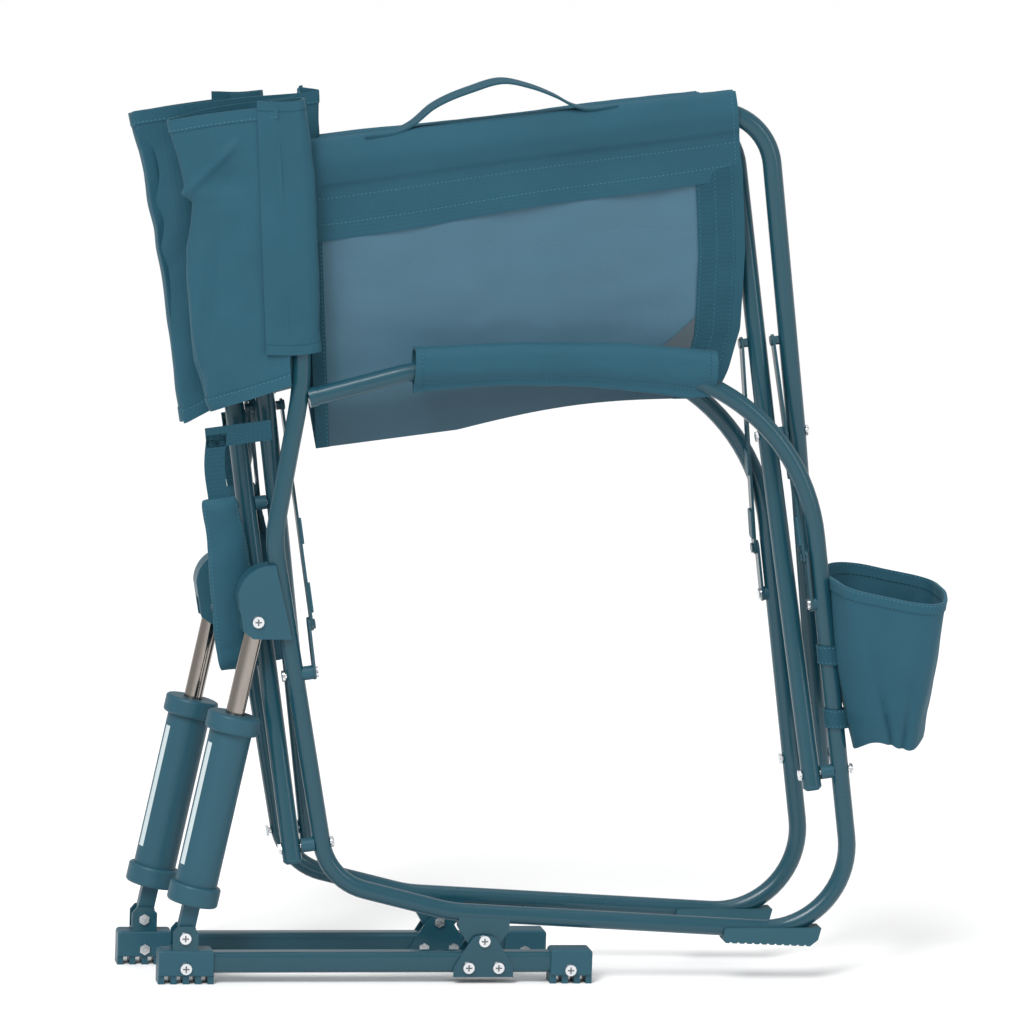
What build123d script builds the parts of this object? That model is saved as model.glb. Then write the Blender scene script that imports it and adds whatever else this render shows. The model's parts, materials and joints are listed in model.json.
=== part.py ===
from build123d import *
import os
from math import acos, asin, atan2, cos, degrees, hypot, radians, sin, tan

# Folding rocker chair for camping, folded flat as it is carried and stood up.
# +X is the chair's front, +Y its left side, +Z up, in millimetres, feet on z = 0.
# Two side frames (right at -Y, left at +Y) are joined by two U-shaped scissor frames, which
# turn about pivot axes that run front to back and tilt LEAN degrees up towards the front.

# ---------------------------------------------------------------- driving dimensions
LEAN = 8.2                   # tilt of every scissor pivot axis, degrees
PIVOT_X, PIVOT_Z = 331.7, 213.7   # a point of the lower pivot axis, u = n = 0
HALF_FOLDED = 46.5           # side frame to middle plane, folded
HALF_OPEN = 295.0            # side frame to middle plane, open
ARM = 340.9                  # lower pivot to centre pivot, along a scissor leg
UPPER = 331.0                # centre pivot to seat rail
LEG_BEND = 5.0               # how much a scissor leg straightens above its centre pivot, degrees
STAGGER = 30.0               # one scissor frame sits this far behind the other
FRONT_U = 10.0               # front legs of the forward scissor frame and of the right side frame
REAR_U = -517.0              # its rear legs

FRAME_R, FRAME_WALL = 9.0, 1.2
LEG_R, LEG_WALL = 9.5, 1.2
GAP = 0.4                    # running clearance between pieces that turn past each other
BOLT_R, HEAD_R, HEAD_H = 3.0, 5.6, 2.6
BOLT_HOLE_R = BOLT_R + 0.1
HEAD_GAP = 1.2               # lower pivot bolt heads stand this far off, clear of the leaning rear tube
LOOSE_HOLE_R = 4.3           # the shock's lower eye, which has play on its bolt

RAIL_H, RAIL_W, RAIL_WALL, RAIL_CORNER = 21.0, 20.0, 1.5, 5.0
RAIL_BOTTOM = 10.5           # underside of the base rail above the ground
RAIL_REAR, RAIL_FRONT = -334.0, 90.0
ROCK_X, ROCK_Z = -14.8, 43.4      # rocker pivot
CLEVIS_X, CLEVIS_Z = -313.3, 46.3  # lower shock pivot
SHOCK_X, SHOCK_Z = -250.5, 362.3   # upper shock pivot

PISTON_AT, PISTON_T = 104.0, 8.0    # the shock's piston above its lower eye, and its thickness

SEAT_REACH = 285.0           # seat rail to the fold line of the sling
SEAT_START, SEAT_STOP = 14.5, 250.0   # span of each stiff half, measured from its rail
SEAT_REAR_U, SEAT_FRONT_U = -460.0, -42.0
SEAT_CLOTH = 3.0
BACK_CLOTH = 3.0
BACK_BOTTOM, BACK_TOP = 592.0, 870.0

# ---------------------------------------------------------------- derived kinematics
FOLDED = degrees(asin(HALF_FOLDED / ARM))
OPEN = degrees(asin(HALF_OPEN / ARM))
TRAVEL = OPEN - FOLDED
CENTRE_N = ARM * cos(radians(FOLDED))
RAIL_TURN = FOLDED - LEG_BEND
RAIL_Y = UPPER * sin(radians(RAIL_TURN))
RAIL_N = CENTRE_N + UPPER * cos(radians(RAIL_TURN))

U_AXIS = Vector(cos(radians(LEAN)), 0, sin(radians(LEAN)))
N_AXIS = Vector(-sin(radians(LEAN)), 0, cos(radians(LEAN)))
LEFT_SHIFT = -STAGGER / cos(radians(LEAN))   # the left side frame stands this much further back

LINK_UP = 94.7               # centre pivot to the stay's upper pivot
Q_Y = LINK_UP * sin(radians(RAIL_TURN))
Q_N = CENTRE_N + LINK_UP * cos(radians(RAIL_TURN))
Q_Y_OPEN = LINK_UP * sin(radians(OPEN - LEG_BEND))
Q_N_OPEN = ARM * cos(radians(OPEN)) + LINK_UP * cos(radians(OPEN - LEG_BEND))
# height of the stay's lower pivot at which the stay is as long folded as open
P_N = (
    (HALF_FOLDED - Q_Y) ** 2 + Q_N**2 - (HALF_OPEN - Q_Y_OPEN) ** 2 - Q_N_OPEN**2
) / (2 * (Q_N - Q_N_OPEN))
LINK_TILT = degrees(atan2(HALF_FOLDED - Q_Y, Q_N - P_N))
LINK_TILT_OPEN = degrees(atan2(HALF_OPEN - Q_Y_OPEN, Q_N_OPEN - P_N))
S_N = 171.0                  # bolt that holds the stay's bracket to the side frame

SEAT_TILT = degrees(asin(RAIL_Y / SEAT_REACH))
SEAT_TILT_OPEN = degrees(asin(UPPER * sin(radians(OPEN - LEG_BEND)) / SEAT_REACH))

BACK_PANEL = HALF_OPEN / 2   # four cloth panels span the open back
BACK_TILT = degrees(acos(HALF_FOLDED / 2 / BACK_PANEL))

STRAP_N = 418.0              # height of the rear strap's ends along the rear legs
STRAP_TILT = degrees(asin(HALF_FOLDED / HALF_OPEN))


def at(u, y, n):
    """A point given along the pivot axes (u), sideways (y) and along the folded legs (n)."""
    return Vector(PIVOT_X, 0, PIVOT_Z) + U_AXIS * u + N_AXIS * n + Vector(0, y, 0)


def across(u):
    """The plane square to the pivot axes at u, its x along +Y and its y along the folded legs."""
    return Plane(origin=at(u, 0, 0), x_dir=(0, 1, 0), z_dir=U_AXIS)


def side_plane(y):
    """The upright plane at y, its x along +X and its y along +Z; extruding goes towards -Y."""
    return Plane(origin=(0, y, 0), x_dir=(1, 0, 0), z_dir=(0, -1, 0))


# the tube of a side frame, as corners in the upright plane: back tube top, arm joint, kink,
# rear bend, runner kink, front bend, arm bend, arm rear bend, arm end
BACK_TUBE_TOP = (-230.0, 868.0)
ARM_JOINT = (-212.0, 598.0)
FRAME_CORNERS = [
    BACK_TUBE_TOP,
    ARM_JOINT,
    (-236.0, 442.0),
    (-172.0, 102.0),
    (-48.0, 71.0),
    (365.7, 47.7),
    (283.0, 621.0),
    (-101.0, 611.0),
    (-202.3, 583.0),
]
ARM_WELD = ((-198.0, 584.2), (-205.6, 582.1))    # fillet of weld between the arm and the back tube
FRAME_RADII = [300, 120, 60, 120, 82, 195, 150]
BACK_DIR = (Vector(*BACK_TUBE_TOP) - Vector(*ARM_JOINT)).normalized()
BACK_DIR = Vector(BACK_DIR.X, 0, BACK_DIR.Y)
BACK_OUT = Vector(BACK_DIR.Z, 0, -BACK_DIR.X)    # square to the back tube, towards the front


def frame_line(side, shift):
    """The corners of one side frame's tube in space."""
    return [Vector(x + shift, side * HALF_FOLDED, z) for x, z in FRAME_CORNERS]


def tube_along(corners, radii, outer, wall):
    """A round tube swept along a filleted polyline."""
    with BuildPart(mode=Mode.PRIVATE) as tube:
        with BuildLine() as path:
            FilletPolyline(*corners, radius=radii)
        with BuildSketch(Plane(origin=path.line @ 0, z_dir=path.line % 0)):
            Circle(outer)
            if wall:
                Circle(outer - wall, mode=Mode.SUBTRACT)
        sweep(path=path.line)
    return tube.part


def rod_between(start, end, radius):
    """A round bar between two points."""
    with BuildPart(mode=Mode.PRIVATE) as bar:
        with BuildSketch(Plane(origin=start, z_dir=end - start)):
            Circle(radius)
        extrude(amount=(end - start).length)
    return bar.part


def bar_u(u0, u1, y, n, radius):
    """A round bar along the pivot axes from u0 to u1."""
    with BuildPart(mode=Mode.PRIVATE) as bar:
        with BuildSketch(across(u0)):
            with Locations((y, n)):
                Circle(radius)
        extrude(amount=u1 - u0)
    return bar.part


def bolt_u(u0, u1, y, n):
    """A bolt along the pivot axes: domed head beyond u1, shank, and nut beyond u0."""
    with BuildPart(mode=Mode.PRIVATE) as bolt:
        add(bar_u(u0 - HEAD_H, u1, y, n, BOLT_R))
        add(bar_u(u1, u1 + HEAD_H, y, n, HEAD_R))
        fillet(bolt.edges().filter_by(GeomType.CIRCLE).group_by(Axis((0, 0, 0), U_AXIS))[-1], 2.2)
        with BuildSketch(across(u0)):
            with Locations((y, n)):
                RegularPolygon(HEAD_R, 6)
        extrude(amount=-HEAD_H)
    return bolt.part


def bolt_y(x, z, y_head, y_nut, shank=BOLT_R, head=HEAD_R):
    """A bolt along Y with its domed head beyond y_head and its nut beyond y_nut."""
    way = 1 if y_nut > y_head else -1
    with BuildPart(mode=Mode.PRIVATE) as bolt:
        with BuildSketch(Plane(origin=(x, y_head - way * HEAD_H, z), z_dir=(0, way, 0))):
            Circle(head)
        extrude(amount=HEAD_H, taper=-18)
        with BuildSketch(Plane(origin=(x, y_head, z), z_dir=(0, way, 0))):
            Circle(shank)
        extrude(amount=abs(y_nut - y_head) + HEAD_H)
        with BuildSketch(Plane(origin=(x, y_nut, z), z_dir=(0, way, 0))):
            RegularPolygon(head, 6)
        extrude(amount=HEAD_H)
    return bolt.part


def pin_hole_y(x, z, radius):
    """A long cutter along Y for pivot and bolt holes."""
    with BuildPart(mode=Mode.PRIVATE) as hole:
        with BuildSketch(Plane(origin=(x, -120, z), z_dir=(0, 1, 0))):
            Circle(radius)
        extrude(amount=240)
    return hole.part


def block_y(points, y0, y1):
    """A plate with the given outline in the upright plane, from y0 to y1."""
    with BuildPart(mode=Mode.PRIVATE) as block:
        with BuildSketch(side_plane(max(y0, y1))):
            with BuildLine():
                Polyline(*points, close=True)
            make_face()
        extrude(amount=abs(y1 - y0))
    return block.part


pieces = {}


def keep(name, builder):
    """Label a finished piece and put it in the list to be written."""
    builder.part.label = name
    pieces[name] = builder


SIDES = {"right": (-1, 0.0, 0.0), "left": (1, LEFT_SHIFT, -STAGGER)}

# ---------------------------------------------------------------- scissor frames
LEG_END_N = -12.0            # legs run this far below their lower pivot
CORNER_R = 60.0


def scissor_leg_line(u_shift, foot_side):
    """Corners of a U-shaped scissor frame whose feet are on foot_side (-1 right, +1 left)."""
    foot_y = foot_side * (HALF_FOLDED - LEG_END_N * tan(radians(FOLDED)))
    rail_y = -foot_side * RAIL_Y
    front, rear = FRONT_U + u_shift, REAR_U + u_shift
    return [
        at(front, foot_y, LEG_END_N),
        at(front, 0, CENTRE_N),
        at(front, rail_y, RAIL_N),
        at(rear, rail_y, RAIL_N),
        at(rear, 0, CENTRE_N),
        at(rear, foot_y, LEG_END_N),
    ]


SCISSOR_RADII = [200, CORNER_R, CORNER_R, 200]
SCISSORS = {"a": (0.0, 1), "b": (-STAGGER, -1)}    # u shift, side of the feet

for key, (u_shift, foot_side) in SCISSORS.items():
    corners = scissor_leg_line(u_shift, foot_side)
    rail_side = -foot_side
    with BuildPart() as leg_frame:
        add(tube_along(corners, SCISSOR_RADII, LEG_R, LEG_WALL))
        for u in (FRONT_U + u_shift, REAR_U + u_shift):
            add(bar_u(u - 15, u + 15, foot_side * HALF_FOLDED, 0, BOLT_HOLE_R), mode=Mode.SUBTRACT)
            centre_hole = BOLT_HOLE_R if key == "a" else BOLT_R
            add(bar_u(u - 15, u + 15, 0, CENTRE_N, centre_hole), mode=Mode.SUBTRACT)
    keep(f"scissor_frame_{key}", leg_frame)

    with BuildPart() as end_caps:
        for foot, above in ((corners[0], corners[1]), (corners[5], corners[4])):
            down = (foot - above).normalized()
            with BuildSketch(Plane(origin=foot, z_dir=down)):
                Circle(LEG_R)
            extrude(amount=1.5)
            with BuildSketch(Plane(origin=foot + down * 1.5, z_dir=down)):
                Circle(LEG_R)
            extrude(amount=3, taper=45)
            with BuildSketch(Plane(origin=foot, z_dir=down)):
                Circle(LEG_R - LEG_WALL)
            extrude(amount=-2.5)
    keep(f"end_caps_{key}", end_caps)

    with BuildPart() as seat_sleeve:
        sleeve_front, sleeve_rear = FRONT_U - CORNER_R + u_shift, REAR_U + CORNER_R + u_shift
        with BuildSketch(across(sleeve_rear)):
            with Locations((rail_side * RAIL_Y, RAIL_N)):
                Circle(LEG_R + 1.5)
                Circle(LEG_R, mode=Mode.SUBTRACT)
        extrude(amount=sleeve_front - sleeve_rear)
    keep(f"seat_sleeve_{key}", seat_sleeve)

# centre pivots: bolts and spacers that ride on scissor frame b
with BuildPart() as centre_bolts:
    for u in (FRONT_U, REAR_U):
        add(bolt_u(u - STAGGER - LEG_R, u + LEG_R + GAP, 0, CENTRE_N))
keep("centre_bolts", centre_bolts)

SPACER_R = 7.0


def spacer_u(u0, u1, y, n):
    """A plain round spacer on a bolt."""
    with BuildPart(mode=Mode.PRIVATE) as spacer:
        with BuildSketch(across(u0)):
            with Locations((y, n)):
                Circle(SPACER_R)
                Circle(BOLT_R, mode=Mode.SUBTRACT)
        extrude(amount=u1 - u0)
    return spacer.part


# solid tube bodies used to cut true saddles into what sits on the tubes
leg_solids = {
    key: tube_along(scissor_leg_line(shift, foot), SCISSOR_RADII, LEG_R, 0)
    for key, (shift, foot) in SCISSORS.items()
}

with BuildPart() as centre_spacers:
    for u in (FRONT_U, REAR_U):
        add(spacer_u(u - STAGGER + LEG_R - 1, u - LEG_R - GAP, 0, CENTRE_N))
    add(leg_solids["b"], mode=Mode.SUBTRACT)
keep("centre_spacers", centre_spacers)

# ---------------------------------------------------------------- the two side frames
REAR_TUBE_OFFSET = -7.8      # the rear tube leans this far behind the leg line at the stay bracket
SPACER_LEN = 2.5
BRACKET_T = 2.5
LINK_T = 2.5
BRACKET_AT = FRAME_R + SPACER_LEN           # distance of the bracket from the leg's axis
LINK_AT = BRACKET_AT + BRACKET_T + 0.3
LINK_BACK = LINK_AT + LINK_T

for side_name, (side, shift, u_shift) in SIDES.items():
    y_side = side * HALF_FOLDED
    frame_corners = frame_line(side, shift)
    frame_solid = tube_along(frame_corners, FRAME_RADII, FRAME_R, 0)

    # (leg axis, way to the inside of the U) of the front and rear legs of this side
    legs = ((FRONT_U + u_shift, -1), (REAR_U + u_shift, 1))

    weld = [Vector(x + shift, y_side, z) for x, z in ARM_WELD]
    with BuildPart() as frame:
        add(tube_along(frame_corners, FRAME_RADII, FRAME_R, FRAME_WALL))
        add(rod_between(weld[0], weld[1], FRAME_R + 0.8))
        for u, _ in legs:
            add(bar_u(u - 16, u + 16, y_side, 0, BOLT_R), mode=Mode.SUBTRACT)
            add(bar_u(u - 20, u + 16, y_side, S_N, BOLT_R), mode=Mode.SUBTRACT)
    keep(f"frame_{side_name}", frame)

    # lower pivot bolts, bracket bolts and the upper shock bolt
    with BuildPart() as bolts:
        for u, inward in legs:
            near, far = (u - STAGGER, u) if side < 0 else (u, u + STAGGER)
            add(bolt_u(near - LEG_R - GAP, far + LEG_R + HEAD_GAP, y_side, 0))
            lean_gap = REAR_TUBE_OFFSET if inward > 0 else 0
            inner = u + inward * (BRACKET_AT + BRACKET_T)
            outer = u + lean_gap - inward * FRAME_R
            add(bar_u(min(inner, outer), max(inner, outer), y_side, S_N, BOLT_R))
            for end, way in ((inner, inward), (outer, -inward)):
                add(bar_u(end, end + way * HEAD_H, y_side, S_N, HEAD_R))
        add(bolt_y(SHOCK_X + shift, SHOCK_Z, y_side + side * 14, y_side - side * 14))
    keep(f"pivot_bolts_{side_name}", bolts)

    with BuildPart() as spacers:
        for u, inward in legs:
            # the scissor leg that turns here stands STAGGER behind the right frame's leg
            # and STAGGER in front of the left frame's leg
            way = side
            start, stop = u + way * (FRAME_R - 2), u + way * (STAGGER - LEG_R - GAP)
            add(spacer_u(min(start, stop), max(start, stop), y_side, 0))
            start, stop = u + inward * (FRAME_R - 12), u + inward * BRACKET_AT
            add(spacer_u(min(start, stop), max(start, stop), y_side, S_N))
        add(frame_solid, mode=Mode.SUBTRACT)
    keep(f"spacers_{side_name}", spacers)

    # flat steel bracket from the frame bolt up to the stay's pivot, with the pivot's own pin
    with BuildPart() as brackets:
        for u, inward in legs:
            face_u = u + inward * BRACKET_AT
            with BuildSketch(across(face_u)):
                with Locations((y_side, (S_N + P_N) / 2)):
                    SlotCenterToCenter(P_N - S_N, 15, rotation=90)
                with Locations((y_side, S_N)):
                    Circle(BOLT_R, mode=Mode.SUBTRACT)
            extrude(amount=inward * BRACKET_T)
            pin_end = u + inward * (LINK_BACK + GAP)
            pin_start = face_u + inward * BRACKET_T
            add(bar_u(pin_start, pin_end, y_side, P_N, 2.5))
            add(bar_u(pin_end, pin_end + inward * 1.8, y_side, P_N, 5.0))
    keep(f"stay_brackets_{side_name}", brackets)

    # stays: flat bars from the bracket's pin to the scissor leg, one per leg
    tilt = -side * LINK_TILT
    q_y = side * Q_Y
    for (u, inward), place in zip(legs, ("front", "rear")):
        with BuildPart() as stay:
            link_len = hypot(HALF_FOLDED - Q_Y, Q_N - P_N)
            mid = ((y_side + q_y) / 2, (P_N + Q_N) / 2)
            with BuildSketch(across(u + inward * LINK_AT)):
                with Locations(mid):
                    SlotCenterToCenter(link_len, 13, rotation=90 - tilt)
                with Locations((y_side, P_N)):
                    Circle(2.8, mode=Mode.SUBTRACT)
            extrude(amount=inward * LINK_T)
            leg_face = u + inward * (LEG_R + GAP)
            link_face = u + inward * LINK_AT
            add(bar_u(leg_face, link_face, q_y, Q_N, 4.5))
            link_back = u + inward * LINK_BACK
            add(bar_u(link_back, link_back + inward * 1.6, q_y, Q_N, 5.0))
        keep(f"stay_{place}_{side_name}", stay)

    # moulded guides on the stays: a long one over the lower pivot and a short one half way up
    with BuildPart() as guides:
        for u, inward in legs:
            for along, length in ((26.0, 30.0), (92.0, 26.0)):
                part_way = along / hypot(HALF_FOLDED - Q_Y, Q_N - P_N)
                spot = (y_side + (q_y - y_side) * part_way, P_N + (Q_N - P_N) * part_way)
                with BuildSketch(across(u + inward * LINK_BACK)):
                    with Locations(spot):
                        with Locations(Rotation(0, 0, -tilt)):
                            RectangleRounded(15, length, 3)
                extrude(amount=inward * 1.8)
    keep(f"stay_guides_{side_name}", guides)

    # quarter-round housing behind the rear tube that takes the shock's rod
    x_top, z_top = SHOCK_X + shift, SHOCK_Z
    with BuildPart() as housing:
        with BuildSketch(side_plane(y_side + 14)):
            with BuildLine():
                Line((x_top + 16, z_top + 56), (x_top + 12, z_top + 56))
                CenterArc((x_top + 12, z_top + 24), 32, 90, 90)
                Line((x_top - 20, z_top + 24), (x_top - 14, z_top - 10))
                Line((x_top - 14, z_top - 10), (x_top - 4, z_top - 17))
                Line((x_top - 4, z_top - 17), (x_top + 34, z_top - 17))
                Line((x_top + 34, z_top - 17), (x_top + 16, z_top + 56))
            make_face()
        extrude(amount=28)
        with BuildSketch(side_plane(y_side + 10.5)):
            with BuildLine():
                Polyline((x_top - 30, z_top - 30), (x_top - 15, z_top + 15), (x_top - 4, z_top + 18),
                         (x_top + 14, z_top + 12), (x_top + 14, z_top - 30), close=True)
            make_face()
        extrude(amount=21, mode=Mode.SUBTRACT)
        add(frame_solid, mode=Mode.SUBTRACT)
        add(pin_hole_y(x_top, z_top, BOLT_R), mode=Mode.SUBTRACT)
    keep(f"shock_housing_{side_name}", housing)

    # saddle welded under the runner, the fixed half of the rocker pivot
    with BuildPart() as saddle:
        x_r = ROCK_X + shift
        add(block_y([(x_r - 26, 68), (x_r - 25, 55), (x_r - 14, 37), (x_r + 14, 37),
                     (x_r + 25, 53), (x_r + 26, 66)], y_side - 8.5, y_side + 8.5))
        fillet(saddle.edges().filter_by(Axis.Y).group_by(Axis.Z)[0], 8)
        add(frame_solid, mode=Mode.SUBTRACT)
        add(pin_hole_y(x_r, ROCK_Z, BOLT_HOLE_R), mode=Mode.SUBTRACT)
    keep(f"hinge_saddle_{side_name}", saddle)

    # ribbed pad under the front of the runner
    with BuildPart() as sole:
        x_p = shift
        add(block_y([(x_p + 228, 56), (x_p + 228, 41), (x_p + 316, 37.5), (x_p + 324, 44),
                     (x_p + 327, 56)], y_side - 12, y_side + 12))
        fillet(sole.edges().filter_by(Axis.Y).sort_by(Axis.X)[0:2], 3)
        for rib in range(11):
            groove_x = x_p + 235 + rib * 7.6
            add(pin_hole_y(groove_x, 40.2 - rib * 0.3, 1.7), mode=Mode.SUBTRACT)
        add(frame_solid, mode=Mode.SUBTRACT)
    keep(f"sole_pad_{side_name}", sole)

    # padded sleeve round the arm tube
    with BuildPart() as arm_pad:
        with BuildLine() as pad_line:
            ThreePointArc((shift - 101, y_side, 612), (shift + 50, y_side, 619), (shift + 198, y_side, 613))
        with BuildSketch(Plane(origin=pad_line.line @ 0, x_dir=(0, 1, 0), z_dir=pad_line.line % 0)):
            RectangleRounded(26, 45, 11)
        sweep(path=pad_line.line)
        add(frame_solid, mode=Mode.SUBTRACT)
    keep(f"arm_pad_{side_name}", arm_pad)

    # cloth sleeve on the back tube
    with BuildPart() as back_sleeve:
        tube_top = Vector(BACK_TUBE_TOP[0] + shift, y_side, BACK_TUBE_TOP[1])
        with BuildSketch(Plane(origin=tube_top + BACK_DIR * 2.5, z_dir=-BACK_DIR)):
            Circle(FRAME_R + 1.5)
        extrude(amount=252)
        add(frame_solid, mode=Mode.SUBTRACT)
    keep(f"back_sleeve_{side_name}", back_sleeve)

    # ---------------------------------------------------------- base rail with feet
    rail_x0, rail_x1 = RAIL_REAR + shift, RAIL_FRONT + shift
    rail_z = RAIL_BOTTOM + RAIL_H / 2
    rock_x = ROCK_X + shift
    clevis_x = CLEVIS_X + shift
    foot_bolts = ((rail_x0 + 22, 16.0), (rail_x1 - 17, 14.0))
    bracket_bolts = ((rock_x - 15, 16.5), (rock_x + 15, 16.5))
    rail_holes = foot_bolts + bracket_bolts
    with BuildPart() as rail_tube:
        with BuildSketch(Plane(origin=(rail_x0, y_side, rail_z), x_dir=(0, 1, 0), z_dir=(1, 0, 0))):
            RectangleRounded(RAIL_W, RAIL_H, RAIL_CORNER)
            RectangleRounded(RAIL_W - 2 * RAIL_WALL, RAIL_H - 2 * RAIL_WALL, RAIL_CORNER - RAIL_WALL,
                             mode=Mode.SUBTRACT)
        extrude(amount=rail_x1 - rail_x0)
        for x, z in rail_holes:
            add(pin_hole_y(x, z, BOLT_R), mode=Mode.SUBTRACT)
    keep(f"base_rail_{side_name}", rail_tube)

    rail_cutter = block_y([(rail_x0, RAIL_BOTTOM), (rail_x1, RAIL_BOTTOM),
                           (rail_x1, RAIL_BOTTOM + RAIL_H), (rail_x0, RAIL_BOTTOM + RAIL_H)],
                          y_side - RAIL_W / 2, y_side + RAIL_W / 2)
    for place, x0, x1, top, teeth in (
        ("rear", rail_x0 - 5, rail_x0 + 50, 34.0, 5),
        ("front", rail_x1 - 37, rail_x1 + 5, 34.5, 4),
    ):
        with BuildPart() as foot:
            add(block_y([(x0, 8), (x1, 8), (x1, top), (x0, top)], y_side - 13, y_side + 13))
            fillet(foot.edges().filter_by(Axis.Y).group_by(Axis.Z)[-1], 4)
            fillet(foot.edges().filter_by(Axis.X), 2)
            add(rail_cutter, mode=Mode.SUBTRACT)
            pitch = (x1 - x0 - 6) / (teeth - 1)
            for tooth in range(teeth):
                x_t = x0 + 3 + tooth * pitch
                with BuildSketch(Plane.XY.offset(8)):
                    with Locations((x_t, y_side)):
                        Rectangle(6, 22)
                extrude(amount=-8)
            foot_bolt = foot_bolts[0] if place == "rear" else foot_bolts[1]
            add(pin_hole_y(foot_bolt[0], foot_bolt[1], BOLT_R), mode=Mode.SUBTRACT)
        keep(f"{place}_foot_{side_name}", foot)

    # two triangular plates that carry the rocker pivot
    with BuildPart() as rocker_bracket:
        for y_plate in (y_side - RAIL_W / 2 - 2.5, y_side + RAIL_W / 2):
            with BuildSketch(side_plane(y_plate + 2.5)):
                with BuildLine():
                    Polyline((rock_x - 30, 7), (rock_x - 30, 17), (rock_x - 10, 49), (rock_x + 10, 49),
                             (rock_x + 30, 17), (rock_x + 30, 7), close=True)
                make_face()
            extrude(amount=2.5)
        fillet(rocker_bracket.edges().filter_by(Axis.Y).group_by(Axis.Z)[-1], 9)
        for x, z in bracket_bolts + ((rock_x, ROCK_Z),):
            add(pin_hole_y(x, z, BOLT_R), mode=Mode.SUBTRACT)
    keep(f"rocker_bracket_{side_name}", rocker_bracket)

    # fork that takes the shock's lower eye
    fork_top = CLEVIS_Z + 12
    with BuildPart() as fork:
        for y_cheek in (y_side - 12, y_side + 9):
            add(block_y([(clevis_x - 12, 34), (clevis_x + 13, 34), (clevis_x + 13, fork_top - 6),
                         (clevis_x + 7, fork_top), (clevis_x - 7, fork_top), (clevis_x - 12, fork_top - 6)],
                        y_cheek, y_cheek + 3))
        add(block_y([(clevis_x - 12, 34), (clevis_x + 13, 34), (clevis_x + 13, 36.5), (clevis_x - 12, 36.5)],
                    y_side - 9, y_side + 9))
        add(pin_hole_y(clevis_x, CLEVIS_Z, BOLT_R), mode=Mode.SUBTRACT)
    keep(f"shock_fork_{side_name}", fork)

    with BuildPart() as rail_bolts:
        outer = side
        for x, z in foot_bolts:
            add(bolt_y(x, z, y_side + outer * 13, y_side - outer * 13))
        for x, z in bracket_bolts + ((rock_x, ROCK_Z),):
            add(bolt_y(x, z, y_side + outer * 12.5, y_side - outer * 12.5))
        add(bolt_y(clevis_x, CLEVIS_Z, y_side + outer * 12, y_side - outer * 12))
    keep(f"rail_bolts_{side_name}", rail_bolts)

    # ---------------------------------------------------------- shock absorber
    top = Vector(x_top, y_side, z_top)
    low = Vector(clevis_x, y_side, CLEVIS_Z)
    up = (top - low).normalized()
    length = (top - low).length

    def shock_plane(t):
        return Plane(origin=low + up * t, x_dir=(0, 1, 0), z_dir=up)

    with BuildPart() as rod:
        with BuildSketch(shock_plane(PISTON_AT)):
            Circle(9.3)
        extrude(amount=length - PISTON_AT - 7)
        with BuildSketch(Plane(origin=top + Vector(0, 7, 0), z_dir=(0, -1, 0))):
            Circle(9)
        extrude(amount=14)
        with BuildSketch(shock_plane(PISTON_AT)):
            Circle(18.3)
        extrude(amount=PISTON_T)
        add(pin_hole_y(x_top, z_top, BOLT_HOLE_R), mode=Mode.SUBTRACT)
    keep(f"shock_rod_{side_name}", rod)

    with BuildPart() as cylinder:
        with BuildSketch(shock_plane(54)):
            Circle(21)
            Circle(18.6, mode=Mode.SUBTRACT)
        extrude(amount=209 - 54)
        with BuildSketch(shock_plane(54)):
            Circle(21)
        extrude(amount=3)
        with BuildSketch(shock_plane(206)):
            Circle(18.6)
            Circle(9.7, mode=Mode.SUBTRACT)
        extrude(amount=3)
    keep(f"shock_cylinder_{side_name}", cylinder)

    with BuildPart() as collars:
        with BuildSketch(shock_plane(209)):
            Circle(26.5)
            Circle(9.7, mode=Mode.SUBTRACT)
        extrude(amount=18)
        with BuildSketch(shock_plane(34)):
            Circle(25.5)
        extrude(amount=20)
        wide = [e for e in collars.edges().filter_by(GeomType.CIRCLE) if e.radius > 20]
        fillet(wide, 3)
        with BuildSketch(shock_plane(8)):
            Rectangle(16, 16)
        extrude(amount=27)
        with BuildSketch(Plane(origin=low + Vector(0, 8, 0), z_dir=(0, -1, 0))):
            Circle(8.5)
        extrude(amount=16)
        add(pin_hole_y(clevis_x, CLEVIS_Z, LOOSE_HOLE_R), mode=Mode.SUBTRACT)
    keep(f"shock_collars_{side_name}", collars)

    # ---------------------------------------------------------- cloth halves
    # seat sling half: hangs from the seat rail on this side
    rail_u = u_shift
    rail_y = side * RAIL_Y
    hang = Vector(0, -side * sin(radians(SEAT_TILT)), 0) + N_AXIS * (-cos(radians(SEAT_TILT)))
    with BuildPart() as seat_half:
        centre = at(rail_u + (SEAT_REAR_U + SEAT_FRONT_U) / 2, rail_y, RAIL_N)
        centre += hang * ((SEAT_START + SEAT_STOP) / 2)
        with BuildSketch(Plane(origin=centre, x_dir=U_AXIS, z_dir=U_AXIS.cross(hang))):
            Rectangle(SEAT_FRONT_U - SEAT_REAR_U, SEAT_STOP - SEAT_START)
        extrude(amount=SEAT_CLOTH / 2, both=True)
    keep(f"seat_{side_name}", seat_half)

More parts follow.
